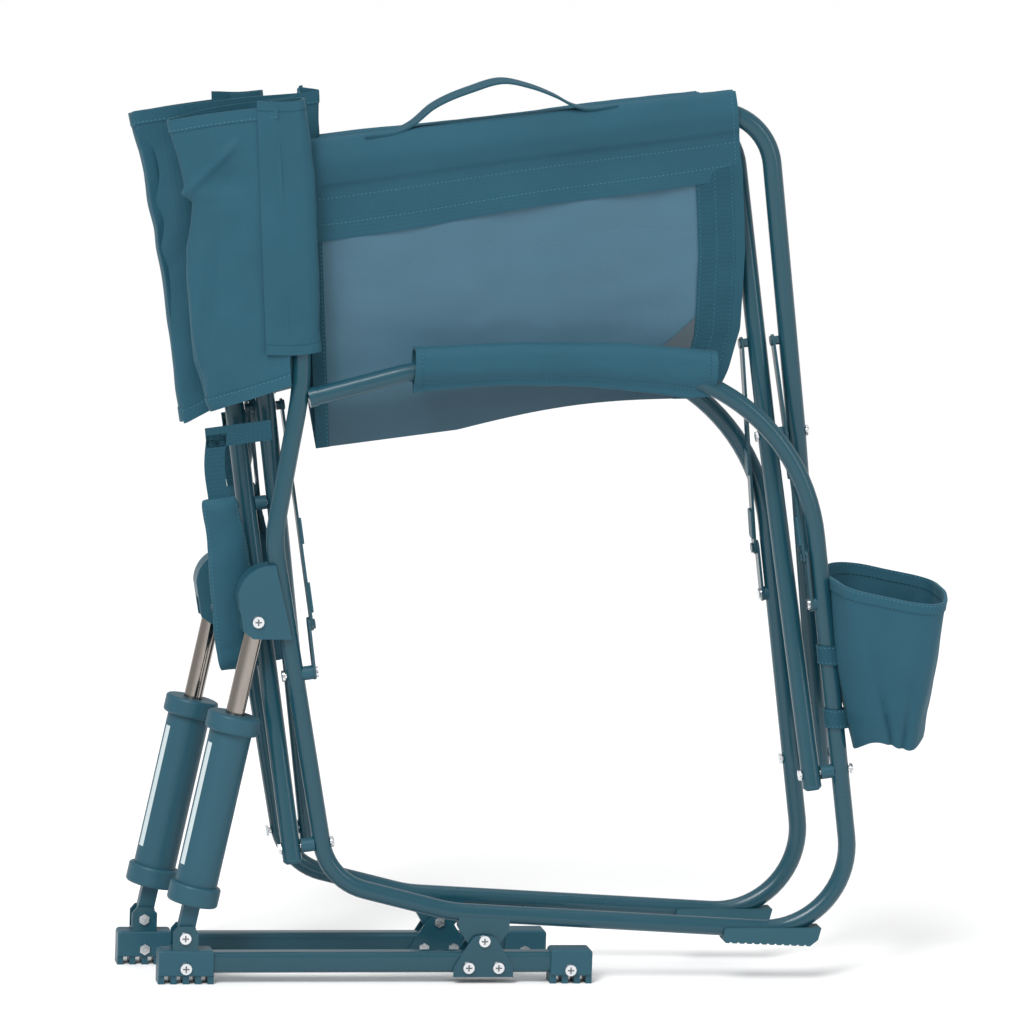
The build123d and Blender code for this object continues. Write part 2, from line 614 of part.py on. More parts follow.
    # back cloth: two panels per side; the outer one is cut away where the scissor's rear
    # corner passes it as the chair opens
    tube_at = Vector(BACK_TUBE_TOP[0] + shift, y_side, BACK_TUBE_TOP[1])
    out_dir = Vector(0, -side * cos(radians(BACK_TILT)), 0) - BACK_OUT * sin(radians(BACK_TILT))
    in_dir = Vector(0, -side * cos(radians(BACK_TILT)), 0) + BACK_OUT * sin(radians(BACK_TILT))
    fold_at = tube_at + out_dir * BACK_PANEL
    height = (BACK_TOP - BACK_BOTTOM) / BACK_DIR.Z
    with BuildPart() as outer_panel:
        with BuildSketch(Plane(origin=tube_at, x_dir=out_dir, z_dir=out_dir.cross(BACK_DIR))):
            with BuildLine():
                Polyline((13, 0), (BACK_PANEL - 12, 0), (BACK_PANEL - 12, -height + 4), (95, -height + 4),
                         (95, -44), (13, -44), close=True)
            make_face()
        extrude(amount=BACK_CLOTH / 2, both=True)
    keep(f"back_outer_{side_name}", outer_panel)

    with BuildPart() as inner_panel:
        with BuildSketch(Plane(origin=fold_at, x_dir=in_dir, z_dir=in_dir.cross(BACK_DIR))):
            with BuildLine():
                Polyline((0, 0), (80, 0), (80, -height + 4), (0, -height + 4), close=True)
            make_face()
        extrude(amount=BACK_CLOTH / 2, both=True)
        # rolled hem along the fold line
        with BuildSketch(Plane(origin=fold_at, z_dir=-BACK_DIR)):
            Circle(BACK_CLOTH / 2 + 0.3)
        extrude(amount=height - 4)
    keep(f"back_inner_{side_name}", inner_panel)

    # rear strap half: a padded band on a webbing loop from the rear tube
    strap_u = REAR_U - STAGGER - LEG_R - 19.5
    strap_dir = Vector(0, -side * sin(radians(STRAP_TILT)), 0) + N_AXIS * (-cos(radians(STRAP_TILT)))
    strap_end = at(strap_u, y_side, STRAP_N)
    with BuildPart() as strap:
        with BuildSketch(Plane(origin=strap_end + strap_dir * 122, x_dir=U_AXIS,
                               z_dir=U_AXIS.cross(strap_dir))):
            RectangleRounded(36, 236, 6)
        extrude(amount=4, both=True)
        tube_u = -500.5 + (shift * cos(radians(LEAN)))
        with BuildSketch(Plane(origin=strap_end, x_dir=(0, 1, 0), z_dir=U_AXIS)):
            Circle(5)
        extrude(amount=tube_u - FRAME_R - 0.8 - strap_u)
    keep(f"strap_{side_name}", strap)

# ---------------------------------------------------------------- cup holder and handle
CUP_X, CUP_TOP, CUP_BOTTOM = 388.0, 404.0, 245.0
with BuildPart() as cup:
    with BuildSketch(Plane.XZ.offset(HALF_FOLDED)):
        with BuildLine():
            Polyline((CUP_X, CUP_BOTTOM), (CUP_X + 40, CUP_BOTTOM), (CUP_X + 54, CUP_TOP),
                     (CUP_X + 51.5, CUP_TOP), (CUP_X + 37.5, CUP_BOTTOM + 3), (CUP_X, CUP_BOTTOM + 3),
                     close=True)
        make_face()
    revolve(axis=Axis((CUP_X, -HALF_FOLDED, 0), (0, 0, 1)), revolution_arc=360)
    for z_tab, reach in ((332.0, 342.0), (268.0, 350.0)):
        leg_x = 341.6 - (z_tab - 215.1) * tan(radians(LEAN))
        with BuildSketch(Plane.XY.offset(z_tab - 10)):
            with Locations(((leg_x + reach) / 2, -HALF_FOLDED)):
                Rectangle(reach - leg_x, 16)
            with Locations((leg_x, -HALF_FOLDED)):
                Circle(FRAME_R + 3)
        extrude(amount=20)
    add(tube_along(frame_line(-1, 0.0), FRAME_RADII, FRAME_R, 0), mode=Mode.SUBTRACT)
keep("cup_holder", cup)

HANDLE_REAR_U, HANDLE_FRONT_U, HANDLE_RISE = -372.0, -160.0, 36.0
with BuildPart() as handle:
    base_n = RAIL_N + LEG_R + 1.5 + GAP
    mid_u = (HANDLE_REAR_U + HANDLE_FRONT_U) / 2
    with BuildSketch(Plane(origin=at(0, -RAIL_Y + 12, 0), x_dir=U_AXIS, z_dir=(0, -1, 0))):
        with BuildLine():
            Spline((HANDLE_REAR_U, base_n), (HANDLE_REAR_U + 35, base_n + 9), (mid_u, base_n + HANDLE_RISE),
                   (HANDLE_FRONT_U - 35, base_n + 9), (HANDLE_FRONT_U, base_n))
            Line((HANDLE_FRONT_U, base_n), (HANDLE_FRONT_U, base_n + 3))
            Spline((HANDLE_FRONT_U, base_n + 3), (HANDLE_FRONT_U - 35, base_n + 12),
                   (mid_u, base_n + HANDLE_RISE + 3), (HANDLE_REAR_U + 35, base_n + 12),
                   (HANDLE_REAR_U, base_n + 3))
            Line((HANDLE_REAR_U, base_n + 3), (HANDLE_REAR_U, base_n))
        make_face()
    extrude(amount=24)
keep("carry_handle", handle)

# ---------------------------------------------------------------- home position and files
whole = Compound([piece.part for piece in pieces.values()]).bounding_box()
HOME = Vector(-(whole.min.X + whole.max.X) / 2, -(whole.min.Y + whole.max.Y) / 2, -whole.min.Z)

if __name__ == "__main__":
    os.makedirs("parts", exist_ok=True)
    for name, piece in pieces.items():
        export_step(piece.part.moved(Location(HOME)), f"parts/{name}.step")
    print(len(pieces), "nodes", whole.size, "home", HOME)
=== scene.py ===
import bpy
import json
import math
import numpy as np
from mathutils import Matrix, Vector, noise


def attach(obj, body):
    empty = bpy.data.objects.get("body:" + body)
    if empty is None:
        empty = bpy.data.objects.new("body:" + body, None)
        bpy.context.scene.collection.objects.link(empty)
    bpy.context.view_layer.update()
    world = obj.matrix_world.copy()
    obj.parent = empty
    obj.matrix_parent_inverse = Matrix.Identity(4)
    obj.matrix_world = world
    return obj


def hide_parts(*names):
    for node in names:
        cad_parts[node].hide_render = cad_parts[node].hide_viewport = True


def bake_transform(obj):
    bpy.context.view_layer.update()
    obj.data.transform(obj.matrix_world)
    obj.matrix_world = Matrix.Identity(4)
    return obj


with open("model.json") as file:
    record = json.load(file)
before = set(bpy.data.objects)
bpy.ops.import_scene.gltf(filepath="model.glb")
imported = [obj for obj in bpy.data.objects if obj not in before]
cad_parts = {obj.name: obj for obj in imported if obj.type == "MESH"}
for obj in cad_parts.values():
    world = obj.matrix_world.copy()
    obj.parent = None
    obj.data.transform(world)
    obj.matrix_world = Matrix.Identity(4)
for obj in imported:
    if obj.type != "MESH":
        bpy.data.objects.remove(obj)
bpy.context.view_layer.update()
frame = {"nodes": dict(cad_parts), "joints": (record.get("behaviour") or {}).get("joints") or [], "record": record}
JOINTS = {j["name"]: j for j in frame["joints"]}

# ------------------------------------------------------------------ the frame's own axes
# Shapes below are written in millimetres in the chair's own frame: x forwards, y to the
# chair's left, z up, feet on 0, with the middle plane between the side frames at y = 0.
# U runs forwards along the pivots, and N up along the folded legs.
ROCKER = (-14.8, -46.5, 43.4)       # the right side's rocker pivot
HOME = np.array(JOINTS["rock_right"]["pos_m"]) * 1000 - np.array(ROCKER)
U = -np.array(JOINTS["fold"]["axis"])
LEAN = math.atan2(U[2], U[0])
N = np.array([-math.sin(LEAN), 0, math.cos(LEAN)])
PIVOT = np.array([331.7, 0.0, 213.7])        # a point of the scissor legs' lower pivot axis
SIDE_Y = 46.5                       # a side frame from the middle plane
SEAT_REACH = 285.0                  # a seat rail to the middle of the sling
STAGGER = 30.0                      # the left half stands this far behind the right one
LEFT_SHIFT = -STAGGER / math.cos(LEAN)
RAIL = np.array(JOINTS["handle_swing"]["pos_m"]) * 1000 - HOME - PIVOT
RAIL_Y, RAIL_N = -RAIL[1], float(RAIL @ N)
BACK_DIR = np.array(JOINTS["back_outer_right"]["axis"])
BACK_REAR = np.array([-BACK_DIR[2], 0, BACK_DIR[0]])
SEAT_TILT = math.asin(RAIL_Y / SEAT_REACH)


def metres(p):
    """Millimetres in the chair's frame to metres in the scene."""
    return (np.asarray(p, float) + HOME) / 1000


def at(u, y, n):
    """Points given along the pivot axes, sideways, and along the folded legs."""
    u, y, n = np.broadcast_arrays(np.asarray(u, float), y, n)
    return PIVOT + u[..., None] * U + n[..., None] * N + y[..., None] * np.array([0, 1, 0])


def spline(points, x):
    """A smooth curve through points, at the shares x of its length."""
    p = np.asarray(points, float)
    k = np.r_[0, np.cumsum(np.linalg.norm(np.diff(p, axis=0), axis=1))]
    k /= k[-1]
    x = np.clip(np.asarray(x, float), 0, 1)
    i = np.clip(np.searchsorted(k, x, side="right") - 1, 0, len(p) - 2)
    slope = np.gradient(p, k, axis=0)
    h = (k[i + 1] - k[i])[..., None]
    t = ((x - k[i]) / (k[i + 1] - k[i]))[..., None]
    return ((2 * t**3 - 3 * t**2 + 1) * p[i] + (t**3 - 2 * t**2 + t) * h * slope[i]
            + (3 * t**2 - 2 * t**3) * p[i + 1] + (t**3 - t**2) * h * slope[i + 1])


def ripples(p, size, amount, seed=0.0, stretch=(1, 1, 1)):
    """Smooth seeded noise at points p, in millimetres."""
    flat = np.asarray(p, float).reshape(-1, 3) * np.array(stretch) / size + seed
    out = np.array([noise.noise(Vector(v)) for v in flat])
    return amount * out.reshape(np.shape(p)[:-1])


# ------------------------------------------------------------------ cloth building
STITCH, STITCH_GAP, STITCH_WIDTH = 2.7, 1.5, 0.42
STITCH_RISE, STITCH_SINK, STITCH_ROOT = 0.45, 0.2, 0.3
STITCH_START = 1.0          # from the end of a row to its first stitch
ROW_SAMPLES = 240           # points that a row of stitches is read at


def band_s(low, high):
    """The map of a strip that runs along t, between s = low and s = high."""
    return lambda a, b: (low + (high - low) * b, a)


def band_t(low, high):
    """The map of a strip that runs along s, between t = low and t = high."""
    return lambda a, b: (a, low + (high - low) * b)


class Cloth:
    """Collects sheets, strips, tubes and stitches into one mesh."""

    def __init__(self, name):
        self.name, self.v, self.f, self.m, self.uv = name, [], [], [], []
        self.count = 0

    def grid(self, p, uv, mat, close_u=False, close_v=False, flip=False):
        nu, nv = p.shape[:2]
        base = self.count
        self.v.append(p.reshape(-1, 3))
        self.count += nu * nv
        for i in range(nu if close_u else nu - 1):
            for j in range(nv if close_v else nv - 1):
                a, b = i * nv + j, ((i + 1) % nu) * nv + j
                c, d = ((i + 1) % nu) * nv + (j + 1) % nv, i * nv + (j + 1) % nv
                quad = (a, d, c, b) if flip else (a, b, c, d)
                self.f.append([base + q for q in quad])
                self.uv.append([uv.reshape(-1, 2)[q] for q in quad])
                self.m.append(mat)

    def skin(self, loop, mat):
        """One flat n-sided face through points that are added here."""
        base = self.count
        self.v.append(np.asarray(loop, float))
        self.count += len(loop)
        self.f.append([base + i for i in range(len(loop))])
        self.uv.append([np.asarray(q)[[0, 1]] for q in loop])
        self.m.append(mat)

    def slab(self, surface, mat=0, under=None):
        """A closed sheet on a Surface, with its front, back and edges. under is another finish for its back."""
        half = surface.n * surface.th / 2
        top, bottom, uv = surface.p + half, surface.p - half, surface.uv
        self.grid(top, uv, mat)
        self.grid(bottom, uv, mat if under is None else under, flip=True)
        for at_edge, flip in ((np.s_[0], False), (np.s_[-1], True), (np.s_[:, 0], True), (np.s_[:, -1], False)):
            self.grid(np.stack([top[at_edge], bottom[at_edge]]), np.stack([uv[at_edge]] * 2), mat, flip=flip)

    def stitches(self, surface, path, mat, lift=0.0, side=1):
        """A row of thread stitches along (s, t) points on a surface, on its front or (side -1) its back."""
        path = np.array(path)
        fine, given = np.linspace(0, 1, ROW_SAMPLES), np.linspace(0, 1, len(path))
        st = np.stack([np.interp(fine, given, path[:, k]) for k in (0, 1)], 1)
        p, n = surface.sample(st)
        n = n * side
        p = p + n * (surface.th / 2 + lift)
        run = np.r_[0, np.cumsum(np.linalg.norm(np.diff(p, axis=0), axis=1))]
        starts = np.arange(STITCH_START, run[-1] - STITCH, STITCH + STITCH_GAP)

        def read(values, x):
            return np.stack([np.interp(x, run, values[:, k]) for k in range(3)], 1)

        a, b, mid, up = read(p, starts), read(p, starts + STITCH), read(p, starts + STITCH / 2), read(n, starts)
        across = np.cross(b - a, up)
        across *= STITCH_WIDTH / (np.linalg.norm(across, axis=1)[:, None] + 1e-9)
        for k in range(len(starts)):
            base = self.count
            self.v.append(np.stack([a[k] - up[k] * STITCH_SINK, b[k] - up[k] * STITCH_SINK, mid[k] + across[k],
                                    mid[k] - across[k], mid[k] + up[k] * STITCH_RISE,
                                    mid[k] - up[k] * STITCH_ROOT]))
            self.count += 6
            for tri in ((0, 2, 4), (2, 1, 4), (1, 3, 4), (3, 0, 4), (2, 0, 5), (1, 2, 5), (3, 1, 5), (0, 3, 5)):
                self.f.append([base + q for q in tri])
                self.uv.append([np.zeros(2)] * 3)
                self.m.append(mat)

    def build(self, mats, sharp=55.0):
        verts = metres(np.concatenate(self.v))
        mesh = bpy.data.meshes.new(self.name)
        mesh.from_pydata(verts.tolist(), [], self.f)
        layer = mesh.uv_layers.new(name="cloth")
        layer.data.foreach_set("uv", np.concatenate([np.asarray(u).reshape(-1, 2) for u in self.uv]).ravel())
        for m in mats:
            mesh.materials.append(m)
        mesh.polygons.foreach_set("material_index", self.m)
        mesh.polygons.foreach_set("use_smooth", [True] * len(self.f))
        mesh.update()
        mesh.set_sharp_from_angle(angle=math.radians(sharp))
        obj = bpy.data.objects.new(self.name, mesh)
        bpy.context.scene.collection.objects.link(obj)
        return obj


class Surface:
    """A grid of points over s and t, from 0 to 1, with normals and a cloth thickness."""

    def __init__(self, shape, ns, nt, th, size, wrinkle=None, flip=False):
        s, t = np.meshgrid(np.linspace(0, 1, ns), np.linspace(0, 1, nt), indexing="ij")
        self.s, self.t, self.th = s, t, th
        self.p = shape(s, t)
        self.flip = flip
        self.normals()
        if wrinkle is not None:
            self.p = self.p + self.n * wrinkle(s, t, self.p)[..., None]
            self.normals()
        self.uv = np.stack([s * size[0], t * size[1]], -1) / 1000

    def normals(self):
        ds, dt = np.gradient(self.p, axis=0), np.gradient(self.p, axis=1)
        n = np.cross(ds, dt)
        n /= np.linalg.norm(n, axis=-1)[..., None] + 1e-9
        self.n = -n if self.flip else n

    def sample(self, st):
        st = np.asarray(st, float)
        ns, nt = self.s.shape
        x, y = st[..., 0] * (ns - 1), st[..., 1] * (nt - 1)
        i = np.clip(x.astype(int), 0, ns - 2)
        j = np.clip(y.astype(int), 0, nt - 2)
        fx, fy = (x - i)[..., None], (y - j)[..., None]

        def mix(g):
            return (g[i, j] * (1 - fx) * (1 - fy) + g[i + 1, j] * fx * (1 - fy)
                    + g[i, j + 1] * (1 - fx) * fy + g[i + 1, j + 1] * fx * fy)

        n = mix(self.n)
        return mix(self.p), n / (np.linalg.norm(n, axis=-1)[..., None] + 1e-9)

    def strip(self, band, na, nb, lift, th, size):
        """A narrow sheet laid on this one: band turns (a, b) into (s, t)."""
        other = Surface.__new__(Surface)
        a, b = np.meshgrid(np.linspace(0, 1, na), np.linspace(0, 1, nb), indexing="ij")
        p, n = self.sample(np.stack(band(a, b), -1))
        other.s, other.t, other.th, other.flip = a, b, th, self.flip
        other.p, other.n = p + n * lift, n
        other.uv = np.stack([a * size[0], b * size[1]], -1) / 1000
        return other


# ------------------------------------------------------------------ materials
def new_material(name):
    """A material with its nodes, its links and its shader."""
    m = bpy.data.materials.new(name)
    m.use_nodes = True
    nodes, links = m.node_tree.nodes, m.node_tree.links
    nodes.clear()
    out = nodes.new("ShaderNodeOutputMaterial")
    shader = nodes.new("ShaderNodeBsdfPrincipled")
    links.new(shader.outputs[0], out.inputs[0])
    return m, nodes, links, shader


def node(nodes, kind, **values):
    """A new node, with values for its inputs or its settings."""
    n = nodes.new(kind)
    for k, v in values.items():
        if k in n.inputs:
            n.inputs[k].default_value = v
        else:
            setattr(n, k, v)
    return n


def math_node(nodes, links, operation, a, b=None):
    """The output of a maths node on sockets or numbers."""
    n = node(nodes, "ShaderNodeMath", operation=operation)
    for k, x in enumerate((a, b)):
        if x is None:
            continue
        if isinstance(x, (int, float)):
            n.inputs[k].default_value = x
        else:
            links.new(x, n.inputs[k])
    return n.outputs[0]


def mix_colour(nodes, links, share, a, b):
    """Colour a, with share of colour b over it."""
    n = node(nodes, "ShaderNodeMix", data_type="RGBA")
    for socket, x in ((n.inputs[0], share), (n.inputs[6], a), (n.inputs[7], b)):
        if isinstance(x, tuple):
            socket.default_value = (*x, 1)
        elif isinstance(x, (int, float)):
            socket.default_value = x
        else:
            links.new(x, socket)
    return n.outputs[2]


def spread(nodes, links, value, low, high, to_low=0.0, to_high=1.0):
    """A value from low to high, mapped to to_low to to_high."""
    n = node(nodes, "ShaderNodeMapRange")
    for k, x in zip(("From Min", "From Max", "To Min", "To Max"), (low, high, to_low, to_high)):
        n.inputs[k].default_value = x
    links.new(value, n.inputs["Value"])
    return n.outputs[0]


def noise_node(nodes, links, scale, detail=3.0, rough=0.55, where=None):
    """Noise over the object, with scale in blotches per metre."""
    n = node(nodes, "ShaderNodeTexNoise", Scale=scale, Detail=detail, Roughness=rough)
    links.new(where or node(nodes, "ShaderNodeTexCoord").outputs["Object"], n.inputs["Vector"])
    return n.outputs["Fac"]


def woven(name, colour, pale, pitch=0.00085, rough=0.62, sheen=0.08, rib=None, bump=0.35, coat=0.0,
          deep=None):
    """Woven cloth: threads over and under at pitch metres, blotches, fuzz and a sheen.

    rib gives the pitch each way for a ribbed weave. deep is (from, to, share): painted shade darkens
    the cloth by that share as the uv map's v goes from the one to the other.
    """
    m, nodes, links, shader = new_material(name)
    uv = node(nodes, "ShaderNodeTexCoord").outputs["UV"]
    split = node(nodes, "ShaderNodeSeparateXYZ")
    links.new(uv, split.inputs[0])
    wave_u, wave_v = (
        math_node(nodes, links, "SINE", math_node(nodes, links, "MULTIPLY", split.outputs[k], math.pi / size))
        for k, size in enumerate(rib or (pitch, pitch)))
    over = math_node(nodes, links, "GREATER_THAN", math_node(nodes, links, "MULTIPLY", wave_u, wave_v), 0.0)
    high_u, high_v = math_node(nodes, links, "ABSOLUTE", wave_u), math_node(nodes, links, "ABSOLUTE", wave_v)
    lift = math_node(nodes, links, "ADD",
                     math_node(nodes, links, "MULTIPLY", high_u, over),
                     math_node(nodes, links, "MULTIPLY", high_v, math_node(nodes, links, "SUBTRACT", 1.0, over)))
    broad = noise_node(nodes, links, 9.0, 4.0)
    fine = noise_node(nodes, links, 900.0, 2.0)
    base = mix_colour(nodes, links, spread(nodes, links, broad, 0.3, 0.7, 0.0, 0.55), colour, pale)
    # the low parts of the threads are darkened: painted shade in the gaps between them
    thread_gap_shade = tuple(c * 0.72 for c in colour)
    base = mix_colour(nodes, links, spread(nodes, links, lift, 0.0, 0.75, 0.5, 0.0), base, thread_gap_shade)
    base = mix_colour(nodes, links, spread(nodes, links, fine, 0.45, 0.75, 0.0, 0.16), base, pale)
    # painted shade: the cloth darkens towards the sling's middle, where it curves under and faces down
    if deep:
        start, end, share = deep
        base = mix_colour(nodes, links, spread(nodes, links, split.outputs[1], start, end, 0.0, share), base,
                          tuple(c * 0.35 for c in colour))
    links.new(base, shader.inputs["Base Color"])
    links.new(spread(nodes, links, broad, 0.3, 0.7, rough - 0.06, rough + 0.06), shader.inputs["Roughness"])
    shader.inputs["Sheen Weight"].default_value = sheen
    shader.inputs["Sheen Roughness"].default_value = 0.45
    shader.inputs["Sheen Tint"].default_value = (0.55, 0.8, 0.9, 1)
    shader.inputs["Specular IOR Level"].default_value = 0.2
    shader.inputs["Coat Weight"].default_value = coat
    shader.inputs["Coat Roughness"].default_value = 0.45
    relief = node(nodes, "ShaderNodeBump", Strength=bump, Distance=0.0003)
    links.new(lift, relief.inputs["Height"])
    crease = node(nodes, "ShaderNodeBump", Strength=0.35, Distance=0.0035)
    links.new(noise_node(nodes, links, 34.0, 3.0, 0.45), crease.inputs["Height"])
    links.new(relief.outputs[0], crease.inputs["Normal"])
    links.new(crease.outputs[0], shader.inputs["Normal"])
    return m


def painted(name, colour, rough=0.34, coat=0.25, peel=0.10, worn=True):
    """Powder coat: orange peel, slight cloudiness, faint scuffs."""
    m, nodes, links, shader = new_material(name)
    cloud = noise_node(nodes, links, 14.0, 3.0)
    grain = noise_node(nodes, links, 1400.0, 1.0)
    base = mix_colour(nodes, links, spread(nodes, links, cloud, 0.3, 0.7, 0.0, 0.5),
                      colour, tuple(min(1, c * 1.10 + 0.001) for c in colour))
    base = mix_colour(nodes, links, spread(nodes, links, grain, 0.5, 0.8, 0.0, 0.20), base,
                      tuple(c * 1.4 + 0.004 for c in colour))
    if worn:
        scuff = spread(nodes, links, noise_node(nodes, links, 55.0, 6.0, 0.7), 0.66, 0.74)
        base = mix_colour(nodes, links, math_node(nodes, links, "MULTIPLY", scuff, 0.05), base, (0.10, 0.19, 0.23))
    links.new(base, shader.inputs["Base Color"])
    links.new(spread(nodes, links, cloud, 0.3, 0.7, rough - 0.04, rough + 0.06), shader.inputs["Roughness"])
    shader.inputs["Specular IOR Level"].default_value = 0.30
    shader.inputs["Coat Weight"].default_value = coat
    shader.inputs["Coat Roughness"].default_value = 0.12
    relief = node(nodes, "ShaderNodeBump", Strength=peel, Distance=0.0004)
    links.new(noise_node(nodes, links, 420.0, 2.0), relief.inputs["Height"])
    links.new(relief.outputs[0], shader.inputs["Normal"])
    return m


def metal(name, colour, rough, scratch, stretch=(1, 1, 1)):
    """Bare metal with fine lines, drawn out by stretch."""
    m, nodes, links, shader = new_material(name)
    mapping = node(nodes, "ShaderNodeMapping")
    mapping.inputs["Scale"].default_value = stretch
    links.new(node(nodes, "ShaderNodeTexCoord").outputs["Object"], mapping.inputs[0])
    lines = noise_node(nodes, links, 600.0, 3.0, 0.6, mapping.outputs[0])
    base = mix_colour(nodes, links, spread(nodes, links, lines, 0.4, 0.7, 0.0, 0.4), colour,
                      tuple(c * 0.75 for c in colour))
    links.new(base, shader.inputs["Base Color"])
    shader.inputs["Metallic"].default_value = 1.0
    links.new(spread(nodes, links, lines, 0.3, 0.7, rough * 0.7, rough * 1.4), shader.inputs["Roughness"])
    relief = node(nodes, "ShaderNodeBump", Strength=scratch, Distance=0.0002)
    links.new(lines, relief.inputs["Height"])
    links.new(relief.outputs[0], shader.inputs["Normal"])
    return m


TEAL = (0.0125, 0.070, 0.105)
TEAL_PALE = (0.021, 0.092, 0.134)
steel_paint = painted("teal_powder_coat", (0.0080, 0.053, 0.077), rough=0.30, coat=0.22)
stay_paint = painted("teal_stay_coat", (0.013, 0.055, 0.076), rough=0.32)
plastic = painted("teal_moulding", (0.013, 0.067, 0.097), rough=0.46, coat=0.05, peel=0.22)
rubber = painted("teal_sole_rubber", (0.018, 0.072, 0.098), rough=0.62, coat=0.0, peel=0.3)
zinc = metal("bright_zinc", (0.72, 0.74, 0.76), 0.26, 0.15)
chrome = metal("polished_rod", (0.30, 0.27, 0.245), 0.12, 0.03, (1, 1, 0.06))
cloth = woven("teal_polyester", TEAL, TEAL_PALE)
# deep paints shade on the seat sling's lower part, towards its middle, where the sling curves under
cloth_back = woven("teal_polyester_reverse", (0.048, 0.118, 0.168), (0.064, 0.143, 0.200), rough=0.5, sheen=0.08,
                   bump=0.15, coat=0.12, deep=(0.205, 0.238, 0.62))
grey_corner = woven("grey_corner_patch", (0.062, 0.088, 0.104), (0.080, 0.106, 0.122), rough=0.7)
webbing = woven("teal_webbing", (0.009, 0.058, 0.088), (0.017, 0.080, 0.116), rib=(0.0042, 0.0016), rough=0.7,
                bump=1.0)
binding = woven("teal_binding", (0.010, 0.062, 0.093), (0.018, 0.083, 0.120), rib=(0.0014, 0.0016), bump=0.6)
thread = painted("pale_teal_thread", (0.055, 0.190, 0.245), rough=0.7, coat=0.0, peel=0.0, worn=False)
label = painted("plain_label", (0.44, 0.52, 0.54), rough=0.4, coat=0.2, peel=0.02, worn=False)

# ------------------------------------------------------------------ CAD nodes that stay
FINISH = {
    "painted_steel": steel_paint, "stay_steel": stay_paint, "zinc_hardware": zinc, "chrome_rod": chrome,
    "moulded_plastic": plastic, "rubber_sole": rubber, "teal_cloth": cloth, "seat_cloth": cloth_back,
    "webbing": webbing,
}
BEVELLED = {"shock_housing": 2.2, "hinge_saddle": 0.8, "sole_pad": 0.8, "rear_foot": 0.8, "front_foot": 0.8,
            "rocker_bracket": 0.5, "shock_fork": 0.5, "stay_front": 0.4, "stay_rear": 0.4, "stay_guides": 0.6,
            "stay_brackets": 0.4, "pivot_bolts": 0.5, "rail_bolts": 0.4, "centre_bolts": 0.4, "shock_collars": 0.5,
            "shock_cylinder": 0.4}
slots = {s["node"]: s["material_slot"] for s in frame["record"]["subparts"]}
for name, obj in frame["nodes"].items():
    obj.data.materials.clear()
    obj.data.materials.append(FINISH[slots[name]])
    for start, width in BEVELLED.items():
        if name.startswith(start):
            bevel = obj.modifiers.new("soft_edges", "BEVEL")
            bevel.width = width / 1000
            bevel.segments = 2
            bevel.limit_method = "ANGLE"
            bevel.angle_limit = math.radians(40)
            bevel.harden_normals = False

SIDES = {"right": (-1, 0.0, 0.0), "left": (1, LEFT_SHIFT, -STAGGER)}

# ------------------------------------------------------------------ cross slots in the bolt heads
BOLTS_APART = 13.0          # no two bolts of a node are nearer than this, seen from the side
HEAD_SLICE = 1.2            # how much of a bolt's outer end is measured
SLOT_LONG, SLOT_THIN = 0.58, 0.13       # of the head's radius
SLOT_DEEP, SLOT_PROUD = 0.5, 0.15
# the slots are dark crosses set into each head and standing a little proud: their dark colour is painted shade for
# the recess
slot_shade_metal = metal("slot_painted_shade", (0.16, 0.165, 0.17), 0.5, 0.1)


def bolt_heads(obj, side):
    """The middle and radius of each bolt's outer end, and how far out it is."""
    points = np.array([v.co[:] for v in obj.data.vertices]) * 1000 - HOME
    heads = []
    while len(points):
        near = np.hypot(*(points[:, [0, 2]] - points[0, [0, 2]]).T) < BOLTS_APART
        bolt, points = points[near], points[~near]
        out = (bolt[:, 1] * side).max()
        head = bolt[bolt[:, 1] * side > out - HEAD_SLICE]
        low, high = head.min(0), head.max(0)
        heads.append(((low + high) / 2, (high[0] - low[0]) / 2, out))
    return heads


for side_name, (side, shift, u_shift) in SIDES.items():
    for node_name, body in (("pivot_bolts", "side"), ("rail_bolts", "rail")):
        slots_cut = Cloth(f"{node_name}_slots_{side_name}")
        for middle, radius, out in bolt_heads(frame["nodes"][f"{node_name}_{side_name}"], side):
            long, thin = radius * SLOT_LONG, radius * SLOT_THIN
            plus = [(thin, thin), (thin, long), (-thin, long), (-thin, thin), (-long, thin), (-long, -thin),
                    (-thin, -thin), (-thin, -long), (thin, -long), (thin, -thin), (long, -thin), (long, thin)]
            rings = np.array([[(middle[0] + x, side * (out + deep), middle[2] + z) for x, z in plus]
                              for deep in (-SLOT_DEEP, SLOT_PROUD)])
            slots_cut.grid(rings.transpose(1, 0, 2), np.zeros((12, 2, 2)), 0, close_u=True, flip=side < 0)
            slots_cut.skin(rings[1] if side < 0 else rings[1][::-1], 0)
            slots_cut.skin(rings[0][::-1] if side < 0 else rings[0], 0)
        slots_obj = slots_cut.build([slot_shade_metal], sharp=30.0)
        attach(slots_obj, f"{body}_{side_name}")

# ------------------------------------------------------------------ seat sling
# Each half hangs from its rail. d is the distance down from the rail, s runs from rear to front.
SEAT_D0, SEAT_D1 = 12.0, 284.5
FRONT_EDGE = ([0, 62, 141, 220, 260, 283], [-22, -21, -26, -38, -54, -68])     # u at each d
REAR_EDGE = ([0, 283], [-452, -471])
BAND_IN, EDGE_IN = 0.893, 0.979      # s of the woven band's and the binding's inner edges
REAR_BINDING = 0.030                 # s of the rear binding's inner edge
QUILT_T = 0.40                       # t of the long wavy row
# the cover goes round the rail and down both faces to a double seam:
# (distance from the sling's plane, distance down as a share of the cover's depth)
COVER_LOOP = [(1.9, -1.0), (3.2, -0.7), (10.5, -0.22), (13.2, -0.02), (11.5, 0.12), (0.0, 0.205)]
COVER_DEPTH, COVER_RISE = 80, 12
COVER_REAR_U, COVER_FRONT_U, COVER_FLARE = -453, -21.5, 6
SEAM_T = (0.018, 0.058)

